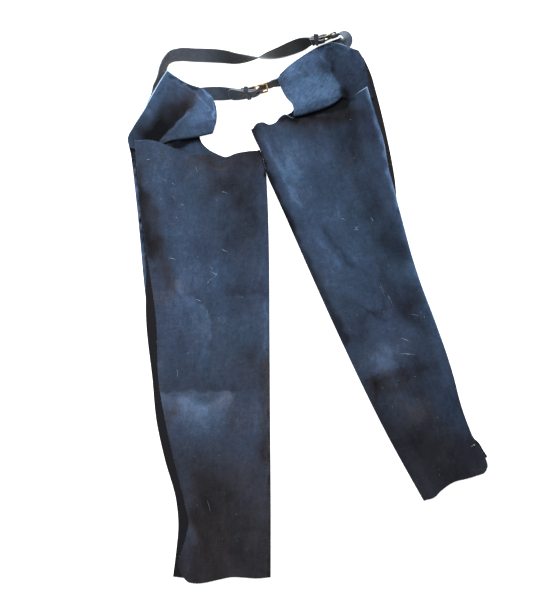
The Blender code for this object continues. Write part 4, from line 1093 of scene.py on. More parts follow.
# %% [markdown]
# ## Threads, scuffs and loose fibres
# Stitches, the fine scratches that lifted the nap, lint, and the fibres that stand out of every cut
# edge are all the same thing: a short thread on the leather. Real hair curves would look as good
# but don't export, so each thread is a closed four-sided tube, and hundreds share one mesh. A
# thread finds its height from the tangent plane at the nearest point of the leather's own grid.

# %% Threads on leather
THREAD_SIDES = 4
NEAR_BATCH = 200
LEAST_SLOPE = 0.3
NEARLY_UP = (0.02, 0.01, 1.0)     # no thread runs exactly this way

Scuff = namedtuple("Scuff", "x0 y0 x1 y1 bow width")     # bow is how far its middle strays


def on_leather(xy, sheet, above):
    """Places above a sheet: on the tangent plane at the nearest grid point, then out of the wall."""
    normal = unit(np.cross(mean_direction(sheet, 0), mean_direction(sheet, 1))).reshape(-1, 3)
    normal = normal * np.sign(normal[:, 2:])
    flat = sheet.reshape(-1, 3)
    batches = np.array_split(xy, 1 + len(xy) // NEAR_BATCH)
    nearest = np.concatenate([np.argmin(np.sum((part[:, None] - flat[None, :, :2])**2, axis=2), axis=1)
                              for part in batches])
    there, n = flat[nearest], normal[nearest]
    rise = -np.sum((xy - there[:, :2]) * n[:, :2], axis=1) / np.maximum(n[:, 2], LEAST_SLOPE)
    return np.column_stack([xy, there[:, 2] + rise]) + n * (WALL / 2 + np.asarray(above))[:, None]


def threads(name, paths, radii):
    """One mesh of closed tubes: a square ring at each point of each path, and a lid at both ends."""
    count, points, _ = paths.shape
    tangent = unit(np.gradient(paths, axis=1))
    side = unit(np.cross(tangent, NEARLY_UP))
    up = np.cross(tangent, side)
    turn = 2 * pi * np.arange(THREAD_SIDES) / THREAD_SIDES
    ring = np.cos(turn)[:, None] * side[:, :, None] + np.sin(turn)[:, None] * up[:, :, None]
    places = paths[:, :, None] + radii[:, :, None, None] * ring
    index = np.arange(count * points * THREAD_SIDES).reshape(count, points, THREAD_SIDES)
    tubes = index[:, :1, :1] + grid_quads(points, THREAD_SIDES, round_cols=True)
    return mesh_piece(name, places,
                      np.concatenate([tubes.reshape(-1, 4), index[:, 0, ::-1], index[:, -1]]))


def thread_finish(name, dark, light):
    """Dull fibre between two colours, in patches a few millimetres long."""
    finish = Finish(name)
    blend = (finish.noise(0.004, 3.0, 0.6) + 0.5).between(0.3, 0.75)
    finish.put(finish.shader, {"Base Color": finish.mix(blend, srgb(*dark), srgb(*light)),
                               "Roughness": 0.9, "Specular IOR Level": 0.15})
    finish.bump(finish.noise(0.0006, 2.0, 0.6), 0.0001, 0.6)
    return finish.material


LINT = thread_finish("lifted nap", (70, 84, 104), (150, 166, 184))
YOKE_THREAD = thread_finish("yoke stitching", (52, 64, 84), (118, 138, 166))

# %% Scuffs and lint
LEFT_SCUFFS = table(
    Scuff, (-261, 230, -254, 225, 0.5, 0.9), (-245, 223, -238, 220, -0.5, 0.8),
    (-245, 200, -239, 194, 0.6, 0.9), (-266, 196, -263, 193, 0, 0.9), (-227, 185, -223, 182, 0, 0.9),
    (-202, 252, -198, 243, -0.8, 1), (-290, 265, -284, 265, 0, 0.9), (-155, 207, -144, 203, 0.8, 1.6),
    (-166, 196, -162, 187, 0, 0.9), (-155, 104, -144, 99, -0.8, 1.5), (-182, 41, -171, 54, 0.5, 1.1),
    (-175, 63, -162, 56, 0.7, 1.2), (-178, 74, -169, 67, -0.5, 0.9), (-171, 50, -162, 63, 0, 0.8),
    (-238, 162, -234, 158, 0, 0.9), (-257, 139, -254, 139, 0, 0.8), (-229, 131, -225, 131, 0, 0.8),
    (-252, 88, -238, 85, 0.8, 1), (-202, 14, -191, 9, 0.6, 1.4), (-175, -4, -171, -4, 0, 0.8),
    (-184, -2, -180, -14, 0.7, 0.8), (-162, -18, -158, -25, 0, 0.9), (-218, -83, -214, -83, 0, 0.8),
    (-236, -112, -236, -126, 1.6, 0.9), (-162, -266, -158, -266, 0, 0.8),
    (-182, -347, -176, -369, 1, 0.8))
RIGHT_SCUFFS = table(
    Scuff, (164, -84, 193, -86, 0.6, 1.4), (55, 173, 55, 160, 0.4, 0.9), (59, 160, 67, 155, 0.6, 0.9),
    (81, 146, 88, 139, 1, 0.8), (86, 140, 94, 146, 0.8, 0.8), (81, 140, 92, 139, -0.8, 0.7),
    (112, 162, 117, 153, 0.5, 1), (-20, 211, -16, 211, 0, 0.9), (4, 216, 7, 216, 0, 0.9),
    (49, 243, 52, 243, 0, 0.9), (166, -56, 184, -63, 0.8, 1), (144, 22, 151, 4, 0.8, 0.8),
    (144, 20, 148, 13, -1, 0.8), (184, -13, 198, -16, 0.6, 0.8), (88, -13, 88, -16, 0, 0.8),
    (209, -16, 209, -20, 0, 0.8), (203, -7, 203, -13, 0, 0.8), (130, 40, 137, 20, 0.8, 0.6))
SCUFF_POINTS = 9
SCUFF_SUNK = 0.35         # share of a scuff's radius that is in the leather
SCUFF_TIP = 0.25          # share of a scuff's width left at its ends
LINT_COUNT = 46
LINT_LENGTH = (1.2, 4.0)
LINT_BOW = 0.8
LINT_WIDTH = (0.25, 0.7)
LINT_INSET = (20, 12)     # no lint in this part of the sheet's rows and columns at each edge


def scuff_paths(rows):
    """Bowed lines between two points, thickest in the middle: straight plus bow times sin(pi t)."""
    rows = np.array(rows, float)
    t = np.linspace(0, 1, SCUFF_POINTS)
    start, end = rows[:, None, 0:2], rows[:, None, 2:4]
    aside = unit(np.stack([start[..., 1] - end[..., 1], end[..., 0] - start[..., 0]], axis=-1))
    xy = start + (end - start) * t[None, :, None] + aside * (rows[:, 4:5] * np.sin(pi * t))[..., None]
    radii = rows[:, 5:6] / 2 * (SCUFF_TIP + (1 - SCUFF_TIP) * np.sin(pi * t)[None])
    return xy, radii


def lint_rows(sheet, seed):
    """Short specks in random places and directions, well inside the sheet's edges."""
    rng = np.random.default_rng(seed)
    i, j = (rng.integers(size // part, size - size // part, LINT_COUNT)
            for size, part in zip(sheet.shape, LINT_INSET))
    turn = rng.uniform(0, 2 * pi, LINT_COUNT)
    length = rng.uniform(*LINT_LENGTH, LINT_COUNT)
    xy = sheet[i, j, :2]
    end = xy + length[:, None] * np.column_stack([np.cos(turn), np.sin(turn)])
    low, high = (-LINT_BOW, LINT_WIDTH[0]), (LINT_BOW, LINT_WIDTH[1])
    bow, width = rng.uniform(low, high, (LINT_COUNT, 2)).T
    return np.column_stack([xy, end, bow, width])


for side, rows, sheet, seed in (("left", LEFT_SCUFFS, left_back, 41),
                                ("right", RIGHT_SCUFFS, right_back, 43)):
    xy, radii = scuff_paths(np.concatenate([np.array(rows, float), lint_rows(sheet, seed)]))
    above = (radii * (1 - 2 * SCUFF_SUNK)).ravel()
    paths = on_leather(xy.reshape(-1, 2), sheet, above).reshape(*xy.shape[:2], 3)
    belongs(threads(f"{side}_scuffs", paths, radii), LINT, "suede")

# %% Loose fibres on cut edges
FIBRE_COUNT = 700
FIBRE_LENGTH = (0.5, 2.0)
FIBRE_SPREAD = np.array([0.9, 0.9, 0.225])     # sideways, against straight out
FIBRE_ROOT = 0.3          # mm of a fibre that is in the leather
ROOT_SCATTER = 0.5
FIBRE_DROOP = np.array([0, 0, -0.2])
FIBRE_RADII = 0.09 * np.array([1.0, 0.8, 0.25])


def edge_fibres(name, edges, seed):
    """Three-point spikes at random places on some edges, each given with the next row of points in."""
    rng = np.random.default_rng(seed)
    border = np.concatenate([outer for outer, _ in edges])
    out = np.concatenate([unit(outer - inner) for outer, inner in edges])
    pick = rng.integers(0, len(border), FIBRE_COUNT)
    lean = out[pick] + FIBRE_SPREAD * rng.uniform(-1, 1, (FIBRE_COUNT, 3))
    lean = unit(lean) * rng.uniform(*FIBRE_LENGTH, FIBRE_COUNT)[:, None]
    root = border[pick] + rng.uniform(-ROOT_SCATTER, ROOT_SCATTER, (FIBRE_COUNT, 3))
    paths = np.stack([root - FIBRE_ROOT * out[pick], root + lean / 2, root + lean + FIBRE_DROOP],
                     axis=1)
    belongs(threads(name, paths, np.broadcast_to(FIBRE_RADII, (FIBRE_COUNT, 3))), LINT, "suede")


def side_and_hem(sheet):
    return [(sheet[:, -1], sheet[:, -2]), (sheet[0], sheet[1])]


# The right leg's top edge lies under its yoke.
edge_fibres("left_edge_fibres", side_and_hem(left_back) + [(left_back[-1], left_back[-2])], 51)
edge_fibres("right_edge_fibres", side_and_hem(right_back), 53)

# %% Stitches
STITCH_PITCH = 4.0
STITCH_LENGTH = 3.0
STITCH_RADIUS = 0.3
STITCH_ARCH = np.array([-0.25, 0.2, 0.2, -0.25])

LEFT_YOKE_SEAMS = (
    ((-248, 417), (-223, 404), (-196, 392), (-182, 383), (-171, 369), (-167, 355)),
    ((-250, 410), (-225, 398), (-200, 385), (-187, 378), (-177, 365), (-174, 353)),
    ((-182, 351), (-168, 353), (-166, 340), (-180, 339), (-181, 349)),
    ((-257, 419), (-270, 400), (-283, 378), (-297, 353)))
RIGHT_YOKE_SEAMS = (
    ((-49, 412), (-40, 392), (-29, 373), (-23, 351)),
    ((-45, 419), (-23, 441), (4, 457), (25, 466)))


def stitch_runs(seam):
    """Four places along each stitch of a seam, given as a curve through a few points."""
    curve = dense_curve(seam)
    start = np.arange(0, along(curve)[-1] - STITCH_LENGTH, STITCH_PITCH)
    return read_at(curve, (start[:, None] + STITCH_LENGTH * np.linspace(0, 1, 4)).ravel())


def seam_stitches(name, seams, sheet):
    """Every stitch of some seams on one sheet, arched over the leather."""
    xy = np.concatenate([stitch_runs(seam) for seam in seams])
    above = np.tile(STITCH_ARCH, len(xy) // 4)
    paths = on_leather(xy, sheet, above).reshape(-1, 4, 3)
    belongs(threads(name, paths, np.full(paths.shape[:2], STITCH_RADIUS)), YOKE_THREAD, "suede")


seam_stitches("left_yoke_stitches", LEFT_YOKE_SEAMS, left_yoke_top)
seam_stitches("right_yoke_stitches", RIGHT_YOKE_SEAMS, right_yoke_top)

# %% [markdown]
# ## The belts
# Each belt is two straps joined by a buckle. A strap twists as it goes, so its line is a curve
# through stations that also say how far it has rolled over. Places on it are told by three
# distances: along from the heel bar, across the strap and out of its face. A curve object with
# tilt could carry the strap, but the same three distances also place the keeper and the buckle.

# %% Tables of the belts
Side = namedtuple("Side", "a n")
Tip = namedtuple("Tip", "a n width")
Belt = namedtuple("Belt", "left heel right tip")

BACK_BELT = Belt(
    left=table(
        Station, (-284, 347, -0.05, 0), (-278.5, 361, 1.2, 6), (-271, 380, 3.9, 18),
        (-268.8, 396, 7, 34), (-265.5, 411, 11.4, 57), (-261.5, 428.5, 13.4, 62),
        (-255.5, 442, 12.8, 60), (-246, 450.5, 9.8, 42), (-230, 454, 6.4, 25), (-203, 453, 5, 17),
        (-173, 452, 4.6, 13), (-149, 450, 7.8, 28), (-130, 447, 11.2, 46), (-110, 447, 13.6, 68),
        (-90, 448.5, 14.6, 97), (-72, 452, 13.5, 127), (-50, 457.8, 10.8, 152), (-31, 464.8, 9.4, 173),
        (-13, 470.5, 12.2, 203), (2, 474.6, 15, 239), (13, 476.6, 17, 258)),
    heel=Heel(26.5, 478.9, 17.5, 24, 264),
    right=table(
        Station, (60, 491.2, 16.2, 291), (66.3, 488.6, 14, 305), (69.4, 482.8, 11.3, 318),
        (67.5, 476.3, 7.9, 334), (60.5, 471.8, 4.8, 350), (50, 468, 3.2, 356), (38, 463, 2.5, 360),
        (27, 458.5, 2.3, 360)),
    tip=table(Tip, (-14, 4.7, BELT_WIDTH), (-18, 4.45, 23), (-21, 4.45, 16), (-22.5, 4.45, 8)))

FRONT_BELT = Belt(
    left=table(
        Station, (-216, 380, 0, 0), (-188, 383, 0, 0), (-172, 384, 0.2, 1), (-160, 384, 1.9, 8),
        (-142, 384, 7.8, 34), (-122, 383.5, 13, 53)),
    heel=Heel(-97, 387, 17.8, 15, 70),
    right=table(
        Station, (-61, 399.5, 14.5, 69), (-50, 405, 12.1, 54), (-38, 411, 9, 36), (-23, 418, 4.6, 16),
        (-7, 425, 2.4, 2), (6, 431, 2.3, 0)),
    tip=table(
        Tip, (-15, 4.6, BELT_WIDTH), (-24, 4.4, BELT_WIDTH), (-34, 4.4, BELT_WIDTH), (-40, 4.4, 24),
        (-44, 4.4, 18), (-46.5, 4.4, 9)))

BAR_RADIUS = 1.6
FRAME_LENGTH = 24.0
FRAME_HALF_WIDTH = 15.6
FRAME_CORNER = 2.4
PRONG_RADIUS = 1.1
PRONG_TAPER = 0.7
PRONG_SLOT = 5.0
TONGUE_SLOT = 3.6
PLY_GAP = 0.7
PLY = (BELT_WALL + PLY_GAP) / 2
HEEL_WRAP = BAR_RADIUS + SEAM_GAP + BELT_WALL / 2
TOWARDS_BAR = table(Side, (-22, PLY), (-18.5, PLY), (-15, PLY), (-11.5, 1.75), (-7.5, 2.35))
STRAIGHT_TO, STRAIGHT_STEPS = -26.0, 20       # where the buckle's strap leaves the plain line
TONGUE_FROM, TONGUE_STEPS = 46.0, 8           # and where the tongue's does
TONGUE = table(
    Side, (38, -2.2), (32, -HEEL_WRAP), (24, -HEEL_WRAP), (18, -2.5), (12.8, -0.1), (7, 3.6),
    (1.6, 5.75), (-3, 5.95), (-8, 5.25))
HOLE_ROW = 4              # the worn hole takes up the two spans after this row of the tongue
STRAIGHT_ROWS = (-4, -3.5, 12, 27.5, 28)      # where the line runs straight through the buckle
LOOK_AHEAD = 0.5
WRAP_TURN, WRAP_STEPS = 110, 10
PRONG_PAST, PRONG_DROP = 2.5, 0.4
HOOK_TURNS = np.linspace(290, 90, 17)
SHAFT_SHARES = (1 / 3, 2 / 3, 0.96)
PRONG_STEP = 0.8
PRONG_CURVE_STEPS = 8     # points between two rows of the prong's path
KEEPER_FROM, KEEPER_TO = -15.0, -8.5
KEEPER_TOP, KEEPER_BOTTOM = 7.85, -4.65
KEEPER_CORNER = 1.6

# %% The line of a belt


class BeltLine:
    """The line both straps of a belt follow, straight through the buckle, with its own three axes."""

    def __init__(self, belt):
        heel = belt.heel
        bar = np.array([heel.x, heel.y])
        forward = np.array([cos(radians(heel.yaw)), sin(radians(heel.yaw))])
        straight = tuple(Station(*(bar + a * forward), heel.z, heel.roll) for a in STRAIGHT_ROWS)
        self.curve = dense_curve(belt.left + straight + belt.right)
        distance = along(self.curve)
        nearest = np.argmin(np.linalg.norm(self.curve[:, :2] - bar, axis=1))
        past = np.dot(bar - self.curve[nearest, :2], forward)
        self.length_left = distance[nearest] + past
        self.length_right = distance[-1] - self.length_left

    def axes(self, a):
        """Place and unit axes on the line at distances a from the heel bar."""
        distance = self.length_left + np.asarray(a, float)
        here = read_at(self.curve, distance)
        ahead = read_at(self.curve, np.minimum(distance + LOOK_AHEAD, along(self.curve)[-1]))
        behind = read_at(self.curve, np.maximum(distance - LOOK_AHEAD, 0))
        tangent = unit(ahead[:, :3] - behind[:, :3])
        left = unit(np.column_stack([-tangent[:, 1], tangent[:, 0], np.zeros(len(tangent))]))
        up = np.cross(tangent, left)
        roll = np.radians(here[:, 3])[:, None]
        across = np.cos(roll) * left + np.sin(roll) * up
        return here[:, :3], tangent, across, np.cross(tangent, across)

    def place(self, a, w, n):
        """Points of the drawing at places given as equal-length lists of a, w and n."""
        origin, _, across, out = self.axes(a)
        return origin + np.asarray(w, float)[:, None] * across + np.asarray(n, float)[:, None] * out

    def rigid(self, a, w, n):
        """The same on the buckle's own straight axes, for metal, with its across and out directions."""
        middle = FRAME_LENGTH / 2
        origin, tangent, across, out = (row[0] for row in self.axes([middle]))
        points = origin + (a[:, None] - middle) * tangent + w[:, None] * across + n[:, None] * out
        return points, across, out


back_line, front_line = BeltLine(BACK_BELT), BeltLine(FRONT_BELT)
print("belt lengths in mm, left and right of the heel bar:",
      [round(float(length)) for line in (back_line, front_line)
       for length in (line.length_left, line.length_right)])

# %% [markdown]
# ## Straps, keepers and belt leather
# A strap's section along the belt is a short list of distances along and out, smoothed and read every 2
# mm. The prong's slot and the tongue's worn hole are cells left out of the grid. The belts are two
# plies of the same hide, worn grey along their edges. Near the buckles they are darker, partly with the
# brown-black of hands and sweat and partly with painted shade where a strap's face turns away from the
# light.

# %% Straps
STRAP_STEP = 2.0
PROFILE_STEPS = 12        # points between two rows of a strap's section
EDGE_COLS = np.array([0, 0.35, 0.9, 1.8])
SLOT_COLS = 5


def strap_columns(slot):
    """Shares of the half width, finer at the strap's edges and lined up with its slot."""
    half, slot_half = BELT_WIDTH / 2, slot / 2
    outer = -half + EDGE_COLS
    inner = np.linspace(outer[-1], -slot_half, SLOT_COLS)[1:]
    left = np.concatenate([outer, inner])
    return np.concatenate([left, [0.0], -left[::-1]]) / half


def strap_grid(line, profile, widths, slot, slot_ends):
    """Middle points of a strap whose profile rows are (a, n), and the cells that its slot leaves."""
    curve = dense_curve(np.column_stack([np.array(profile, float), widths]), PROFILE_STEPS)
    s = along(curve[:, :2])
    distance = shares(s[-1], STRAP_STEP) * s[-1]
    a, n, width = (np.interp(distance, s, column) for column in curve.T)
    columns = strap_columns(slot)
    mid = np.stack([line.place(a, c * width / 2, n) for c in columns], axis=1)
    kept = np.ones((len(a) - 1, len(columns) - 1), bool)
    in_slot = (distance[:-1] > slot_ends[0]) & (distance[1:] < slot_ends[1])
    middle = len(columns) // 2
    kept[in_slot, middle - 1:middle + 1] = False
    return mid, kept


def distance_to(profile, index):
    """Distance along a profile's smooth curve to one of its rows."""
    return along(dense_curve(profile, PROFILE_STEPS))[index * PROFILE_STEPS]


def buckle_strap(line):
    """Along the line, round the heel bar and back under itself."""
    run = [(a, PLY) for a in np.linspace(-line.length_left, STRAIGHT_TO, STRAIGHT_STEPS)]
    turns = np.radians(np.linspace(WRAP_TURN, -WRAP_TURN, WRAP_STEPS))
    bend = [(HEEL_WRAP * cos(t), HEEL_WRAP * sin(t)) for t in turns]
    back = [(row.a, -row.n) for row in reversed(TOWARDS_BAR)]
    profile = run + list(TOWARDS_BAR) + bend + back
    first = len(run) + len(TOWARDS_BAR) - 1
    ends = distance_to(profile, first), distance_to(profile, first + len(bend) + 1)
    return strap_grid(line, profile, np.full(len(profile), BELT_WIDTH), PRONG_SLOT, ends)


def tongue_strap(line, tip):
    """Through the buckle, with a worn hole, to a rounded tip."""
    run = [(a, 0.0) for a in np.linspace(line.length_right, TONGUE_FROM, TONGUE_STEPS)]
    profile = run + list(TONGUE) + [(row.a, row.n) for row in tip]
    widths = [BELT_WIDTH] * (len(run) + len(TONGUE)) + [row.width for row in tip]
    hole = len(run) + HOLE_ROW
    ends = distance_to(profile, hole), distance_to(profile, hole + 2)
    return strap_grid(line, profile, widths, TONGUE_SLOT, ends)


# %% Belt leather
BELT_STEPS = (0.0, 0.35, 0.65, 1.0)
GREY_BLUE = (14, 16, 20), (46, 57, 72), (70, 86, 108), (128, 144, 160)
BROWN_BLACK = (14, 13, 12), (44, 41, 39), (80, 75, 71), (140, 132, 124)
BELT_CORE = (150, 158, 164)
BELT_BASE = 0.42          # tone and warm of the plain belt
BELT_PALE, BELT_PALE_REACH = 0.8, 2.0
BELT_CLOUDS, BELT_MOTTLE, BELT_GRAIN = 0.30, 0.24, 0.16     # what each adds to tone


def belt_finish():
    """Two-ply belt leather: navy gone grey, lighter along its edges, dark by the buckles."""
    finish = Finish("belt leather")
    tone = finish.attribute("tone") + finish.noise(0.03, 3.0, 0.6) * BELT_CLOUDS
    tone = tone + finish.noise(0.006, 3.0, 0.6) * BELT_MOTTLE
    tone = tone + finish.noise(0.0015, 2.0, 0.6) * BELT_GRAIN
    warm = (finish.attribute("warm") + finish.noise(0.02, 3.0, 0.6) * 0.4).clamp()
    clean = finish.ramp(tone, zip(BELT_STEPS, GREY_BLUE))
    soiled = finish.ramp(tone, zip(BELT_STEPS, BROWN_BLACK))
    leather = finish.mix(warm, clean, soiled)
    worn = (finish.attribute("pale") + finish.noise(0.008, 3.0, 0.7) * 0.9).between(0.35, 1.0)
    leather = finish.mix(worn * 0.8, leather, srgb(*BELT_CORE))
    finish.put(finish.shader, {"Base Color": leather, "Roughness": 0.82, "Specular IOR Level": 0.3,
                               "Sheen Weight": 0.12, "Sheen Roughness": 0.5})
    finish.bump(finish.noise(0.0012, 3.0, 0.6) + finish.noise(0.006, 3.0, 0.6), 0.0005, 0.8)
    return finish.material


BELT_LEATHER = belt_finish()
BeltTone = namedtuple("BeltTone", "x reach tone warm")
# In both tables the dark rows are partly soiling and partly painted shade where a strap's face turns
# away from the light.
BACK_TONES = table(
    BeltTone, (-250, 30, 0.24, 0.1), (-205, 46, 0.14, 0.05), (-130, 40, -0.22, 0.1),
    (-48, 34, -0.34, 0.2), (4, 24, -0.42, 0.3), (64, 16, 0.36, -0.5))
FRONT_TONES = table(BeltTone, (-150, 36, -0.1, -0.5), (-60, 40, -0.3, 0.4))


def belt_bell(x, y, row):
    """exp(-(distance in x / reach)^2), the same all across the belt."""
    return np.exp(-((x - row.x) / row.reach)**2)


def worn_edge(mid, strength, reach, closed=False):
    """How pale the leather is towards its cut edges: strength there, nothing past the reach."""
    return strength * (1 - smooth_step(from_border(mid, closed) / reach))


def make_strap(name, node, grid, tones):
    """A strap's wall, with tone and warm along it and worn edges."""
    mid, kept = grid
    tone, warm = BELT_BASE + added(mid[..., 0], mid[..., 1], tones, belt_bell)
    piece = wall(name, mid, BELT_WALL, kept=kept, tone=tone, warm=warm,
                 pale=worn_edge(mid, BELT_PALE, BELT_PALE_REACH))
    belongs(piece, BELT_LEATHER, "belt_leather", node)


for kind, line, tip, tones in (("back", back_line, BACK_BELT.tip, BACK_TONES),
                               ("front", front_line, FRONT_BELT.tip, FRONT_TONES)):
    make_strap(f"{kind}_strap_left", f"{kind}_belt_left", buckle_strap(line), tones)
    make_strap(f"{kind}_strap_right", f"{kind}_belt_right", tongue_strap(line, tip), tones)

# %% Keepers
KEEPER_TONES = {"back": 0.12, "front": 0.30}
KEEPER_WARM = 0.3
KEEPER_PALE, KEEPER_PALE_REACH = 0.5, 1.6
CORNER_STEPS = 7
KEEPER_COLS = 18          # along each flat side


def rounded_corners(low, high, radius, steps):
    """The four corners of a rectangle as quarter circles, anticlockwise from its high corner."""
    left, bottom = np.add(low, radius)
    right, top = np.subtract(high, radius)
    corners = []
    for x, y, start in ((right, top, 0), (left, top, 90), (left, bottom, 180), (right, bottom, 270)):
        turn = np.radians(np.linspace(start, start + 90, steps))
        corners.append(np.column_stack([x + radius * np.cos(turn), y + radius * np.sin(turn)]))
    return corners


def keeper_grid(line):
    """A flat loop round strap and tongue: straight sides and quarter circles at its corners."""
    half = BELT_WIDTH / 2 + SEAM_GAP + KEEPER_WALL / 2
    a, b, c, d = rounded_corners((-half, KEEPER_BOTTOM), (half, KEEPER_TOP),
                                 KEEPER_CORNER, CORNER_STEPS)
    upper, lower = (np.linspace(start[-1], end[0], KEEPER_COLS)[1:-1]
                    for start, end in ((a, b), (c, d)))
    w, n = np.concatenate([a, upper, b, c, lower, d]).T
    rows = np.concatenate([KEEPER_FROM + RIM_STEPS[:4], KEEPER_TO - RIM_STEPS[3::-1]])
    return np.stack([line.place(np.full(len(w), row), w, n) for row in rows], axis=1)


for kind, line in (("back", back_line), ("front", front_line)):
    mid = keeper_grid(line)
    keeper = wall(f"{kind}_loop", mid, KEEPER_WALL, closed=True,
                  tone=np.full(mid.shape[:2], KEEPER_TONES[kind]),
                  warm=np.full(mid.shape[:2], KEEPER_WARM),
                  pale=worn_edge(mid, KEEPER_PALE, KEEPER_PALE_REACH, closed=True))
    belongs(keeper, BELT_LEATHER, "belt_leather", f"{kind}_keeper")

# %% [markdown]
# ## Buckles and the end stop
# The buckles are bent from round brass bar, with a prong hooked round the heel bar. A bar is a
# circle carried along a path in one plane, so its rings never twist. Brass this old is dull,
# rubbed bright in some places and brown in others.

# %% Brass
BAR_SIDES = 24
LEAST_END = 0.02          # share of a bar's radius left at its very end
FRAME_CORNER_STEPS = 8


def round_bar(name, path, across, radii, closed=False):
    """A circle carried along a path in one plane, whose normal is across."""
    side = unit(np.cross(mean_direction(path, 0, closed), across))
    turn = 2 * pi * np.arange(BAR_SIDES)[:, None] / BAR_SIDES
    radii = np.broadcast_to(radii, len(path))[:, None, None]
    ring = path[:, None] + radii * (np.cos(turn) * side[:, None] + np.sin(turn) * np.asarray(across))
    return mesh_piece(name, ring, grid_quads(len(path), BAR_SIDES, closed, round_cols=True))


def end_round(share):
    """How a bar's radius closes to a point: 1 well inside, falling on a circle over the last share."""
    return np.sqrt(np.clip(1 - (1 - np.clip(share, 0, 1))**2, LEAST_END**2, 1))


def rounded_radii(path, radius, taper):
    """A bar's radii: tapered towards its end, and rounded off to a point at both ends."""
    s = along(path)
    body = radius * (1 - (1 - taper) * s / s[-1])
    return body * end_round(np.minimum(s, s[-1] - s) / radius)


def brass_finish(name, tarnished, rubbed):
    """Dull brass: the tarnished colour with rubbed spots, fine scratches and an uneven gloss."""
    finish = Finish(name)
    spots = finish.noise(0.004, 4.0, 0.65)
    tarnish = (0.5 + spots).between(0.35, 0.75)
    colour = finish.mix(tarnish, srgb(*tarnished), srgb(*rubbed))
    scratches = finish.noise(0.0009, 2.0, 0.6)
    finish.put(finish.shader, {"Base Color": colour, "Metallic": 0.9,
                               "Roughness": (0.42 - spots * 0.3 + scratches * 0.1).clamp()})
    finish.bump(scratches, 0.0001, 0.5)
    return finish.material


GOLDEN_BRASS = brass_finish("golden brass", (112, 84, 48), (206, 168, 108))
PALE_BRASS = brass_finish("pale greenish brass", (88, 88, 70), (152, 152, 126))


def frame_path():
    """A rectangle with round corners, along and across from the heel bar."""
    return np.concatenate(rounded_corners((0, -FRAME_HALF_WIDTH), (FRAME_LENGTH, FRAME_HALF_WIDTH),
                                          FRAME_CORNER, FRAME_CORNER_STEPS))


def prong_path():
    """Hooked round the heel bar and straight over the end bar."""
    hook = BAR_RADIUS + SEAM_GAP + PRONG_RADIUS
    bend = [(hook * cos(t), hook * sin(t)) for t in np.radians(HOOK_TURNS)]
    shaft = [(share * FRAME_LENGTH, hook) for share in SHAFT_SHARES]
    point = [(FRAME_LENGTH + PRONG_PAST, hook - PRONG_DROP)]
    curve = dense_curve(bend + shaft + point, PRONG_CURVE_STEPS)
    length = along(curve)[-1]
    return read_at(curve, shares(length, PRONG_STEP) * length)


outline, shaft = frame_path(), prong_path()
for kind, line, brass in (("back", back_line, PALE_BRASS), ("front", front_line, GOLDEN_BRASS)):
    path, _, normal = line.rigid(outline[:, 0], outline[:, 1], np.zeros(len(outline)))
    buckle = round_bar(f"{kind}_brass_frame", path, normal, BAR_RADIUS, closed=True)
    belongs(buckle, brass, "brass", f"{kind}_buckle_frame")
    path, across, _ = line.rigid(shaft[:, 0], np.zeros(len(shaft)), shaft[:, 1])
    radii = rounded_radii(path, PRONG_RADIUS, PRONG_TAPER)
    prong = round_bar(f"{kind}_brass_prong", path, across, radii)
    belongs(prong, brass, "brass", f"{kind}_buckle_prong")

# %% The end stop
END_STOP = At(296.5, -249)
END_STOP_TURN = radians(35)
END_STOP_LENGTH = 8.5
END_STOP_RADIUS = 1.2
END_STOP_STEPS = 33
LOBE_WAIST = 0.62         # share of the radius between the lobes and at the ends
LOBE_END = 0.2            # share of the half length that is rounded off


def end_stop():
    """Two lobes on one short bar: the radius swells twice along it."""
    share = np.linspace(-1, 1, END_STOP_STEPS)
    lobes = END_STOP_RADIUS * (LOBE_WAIST + (1 - LOBE_WAIST) * np.sin(pi * np.abs(share)))
    run = share * END_STOP_LENGTH / 2
    height = OVER_STRIP + WALL / 2 + SEAM_GAP + END_STOP_RADIUS
    path = np.column_stack([END_STOP.x + run * cos(END_STOP_TURN),
                            END_STOP.y + run * sin(END_STOP_TURN), np.full(END_STOP_STEPS, height)])
    ends = end_round((1 - np.abs(share)) / LOBE_END)
    return round_bar("brass_end_stop", path, (0, 0, 1), lobes * ends)


belongs(end_stop(), PALE_BRASS, "brass", "end_stop_right")

# %% [markdown]
# ## Floor, light and camera
# The photograph looks straight down on leather lying flat, in even light, on white. The lens is
# set from the height of the view, so that the object fills the frame as it does there.

# %% Floor
FLOOR_HALF = 4.0
FLOOR_GLOW = 0.85         # a light table, so that shadows stay faint


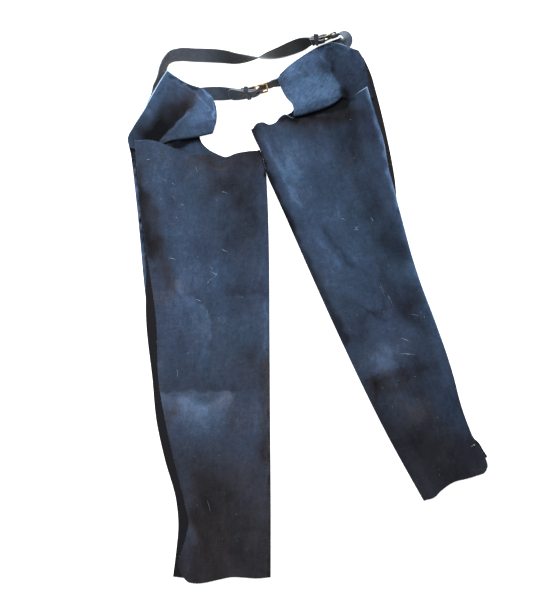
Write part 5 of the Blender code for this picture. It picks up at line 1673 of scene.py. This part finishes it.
def floor_finish():
    finish = Finish("pale floor")
    mottle = finish.noise(0.4, 2.0, 0.5)
    colour = finish.mix((0.5 + mottle).clamp(), (0.90, 0.90, 0.91, 1), (0.93, 0.93, 0.93, 1))
    finish.put(finish.shader, {"Base Color": colour, "Roughness": 0.9, "Specular IOR Level": 0.1,
                               "Emission Color": (1.0, 1.0, 1.0, 1.0), "Emission Strength": FLOOR_GLOW})
    return finish.material


floor_mesh = bpy.data.meshes.new("floor")
corner = np.array([[-1, -1, 0], [1, -1, 0], [1, 1, 0], [-1, 1, 0]]) * FLOOR_HALF - [0, 0, 0.2 * MM]
floor_mesh.from_pydata(corner, [], [(0, 1, 2, 3)])
floor_mesh.materials.append(floor_finish())
floor_piece = add_object("floor", floor_mesh)

# %% Light
WINDOW_PLACE = Vector((-0.8, 2.2, 3.0))
WINDOW_SIZE = 1.8
WINDOW_POWER = 190
SKY_COLOUR = (0.95, 0.97, 1.0, 1)
SKY_STRENGTH = 0.45

window_data = bpy.data.lights.new("window", "AREA")
window_data.size = WINDOW_SIZE
window_data.energy = WINDOW_POWER
window = add_object("window", window_data)
window.location = WINDOW_PLACE
window.rotation_euler = (-WINDOW_PLACE).to_track_quat("-Z", "Y").to_euler()
sky = bpy.data.worlds.new("studio")
sky.use_nodes = True
sky.node_tree.nodes["Background"].inputs["Color"].default_value = SKY_COLOUR
sky.node_tree.nodes["Background"].inputs["Strength"].default_value = SKY_STRENGTH
bpy.context.scene.world = sky
bpy.context.scene.view_settings.view_transform = "Standard"

# %% Camera
PIXEL = 1.8               # mm that one pixel of the photograph covers
PHOTO_WIDTH, PHOTO_HEIGHT = 533, 615
ORIGIN = At(308, 307)     # the pixel at the drawing's origin
VIEW_MIDDLE = At((PHOTO_WIDTH / 2 - ORIGIN.x) * PIXEL, (ORIGIN.y - PHOTO_HEIGHT / 2) * PIXEL)
CAMERA_HEIGHT = 3.2
SENSOR = 24.0

camera_data = bpy.data.cameras.new("overhead")
camera_data.sensor_fit = "VERTICAL"
camera_data.sensor_height = SENSOR
camera_data.lens = SENSOR * CAMERA_HEIGHT / (PHOTO_HEIGHT * PIXEL * MM)
camera = add_object("overhead", camera_data)
camera.location = (*((np.array(VIEW_MIDDLE) + DRAWING_TO_FRAME[:2]) * MM), CAMERA_HEIGHT)
bpy.context.scene.camera = camera
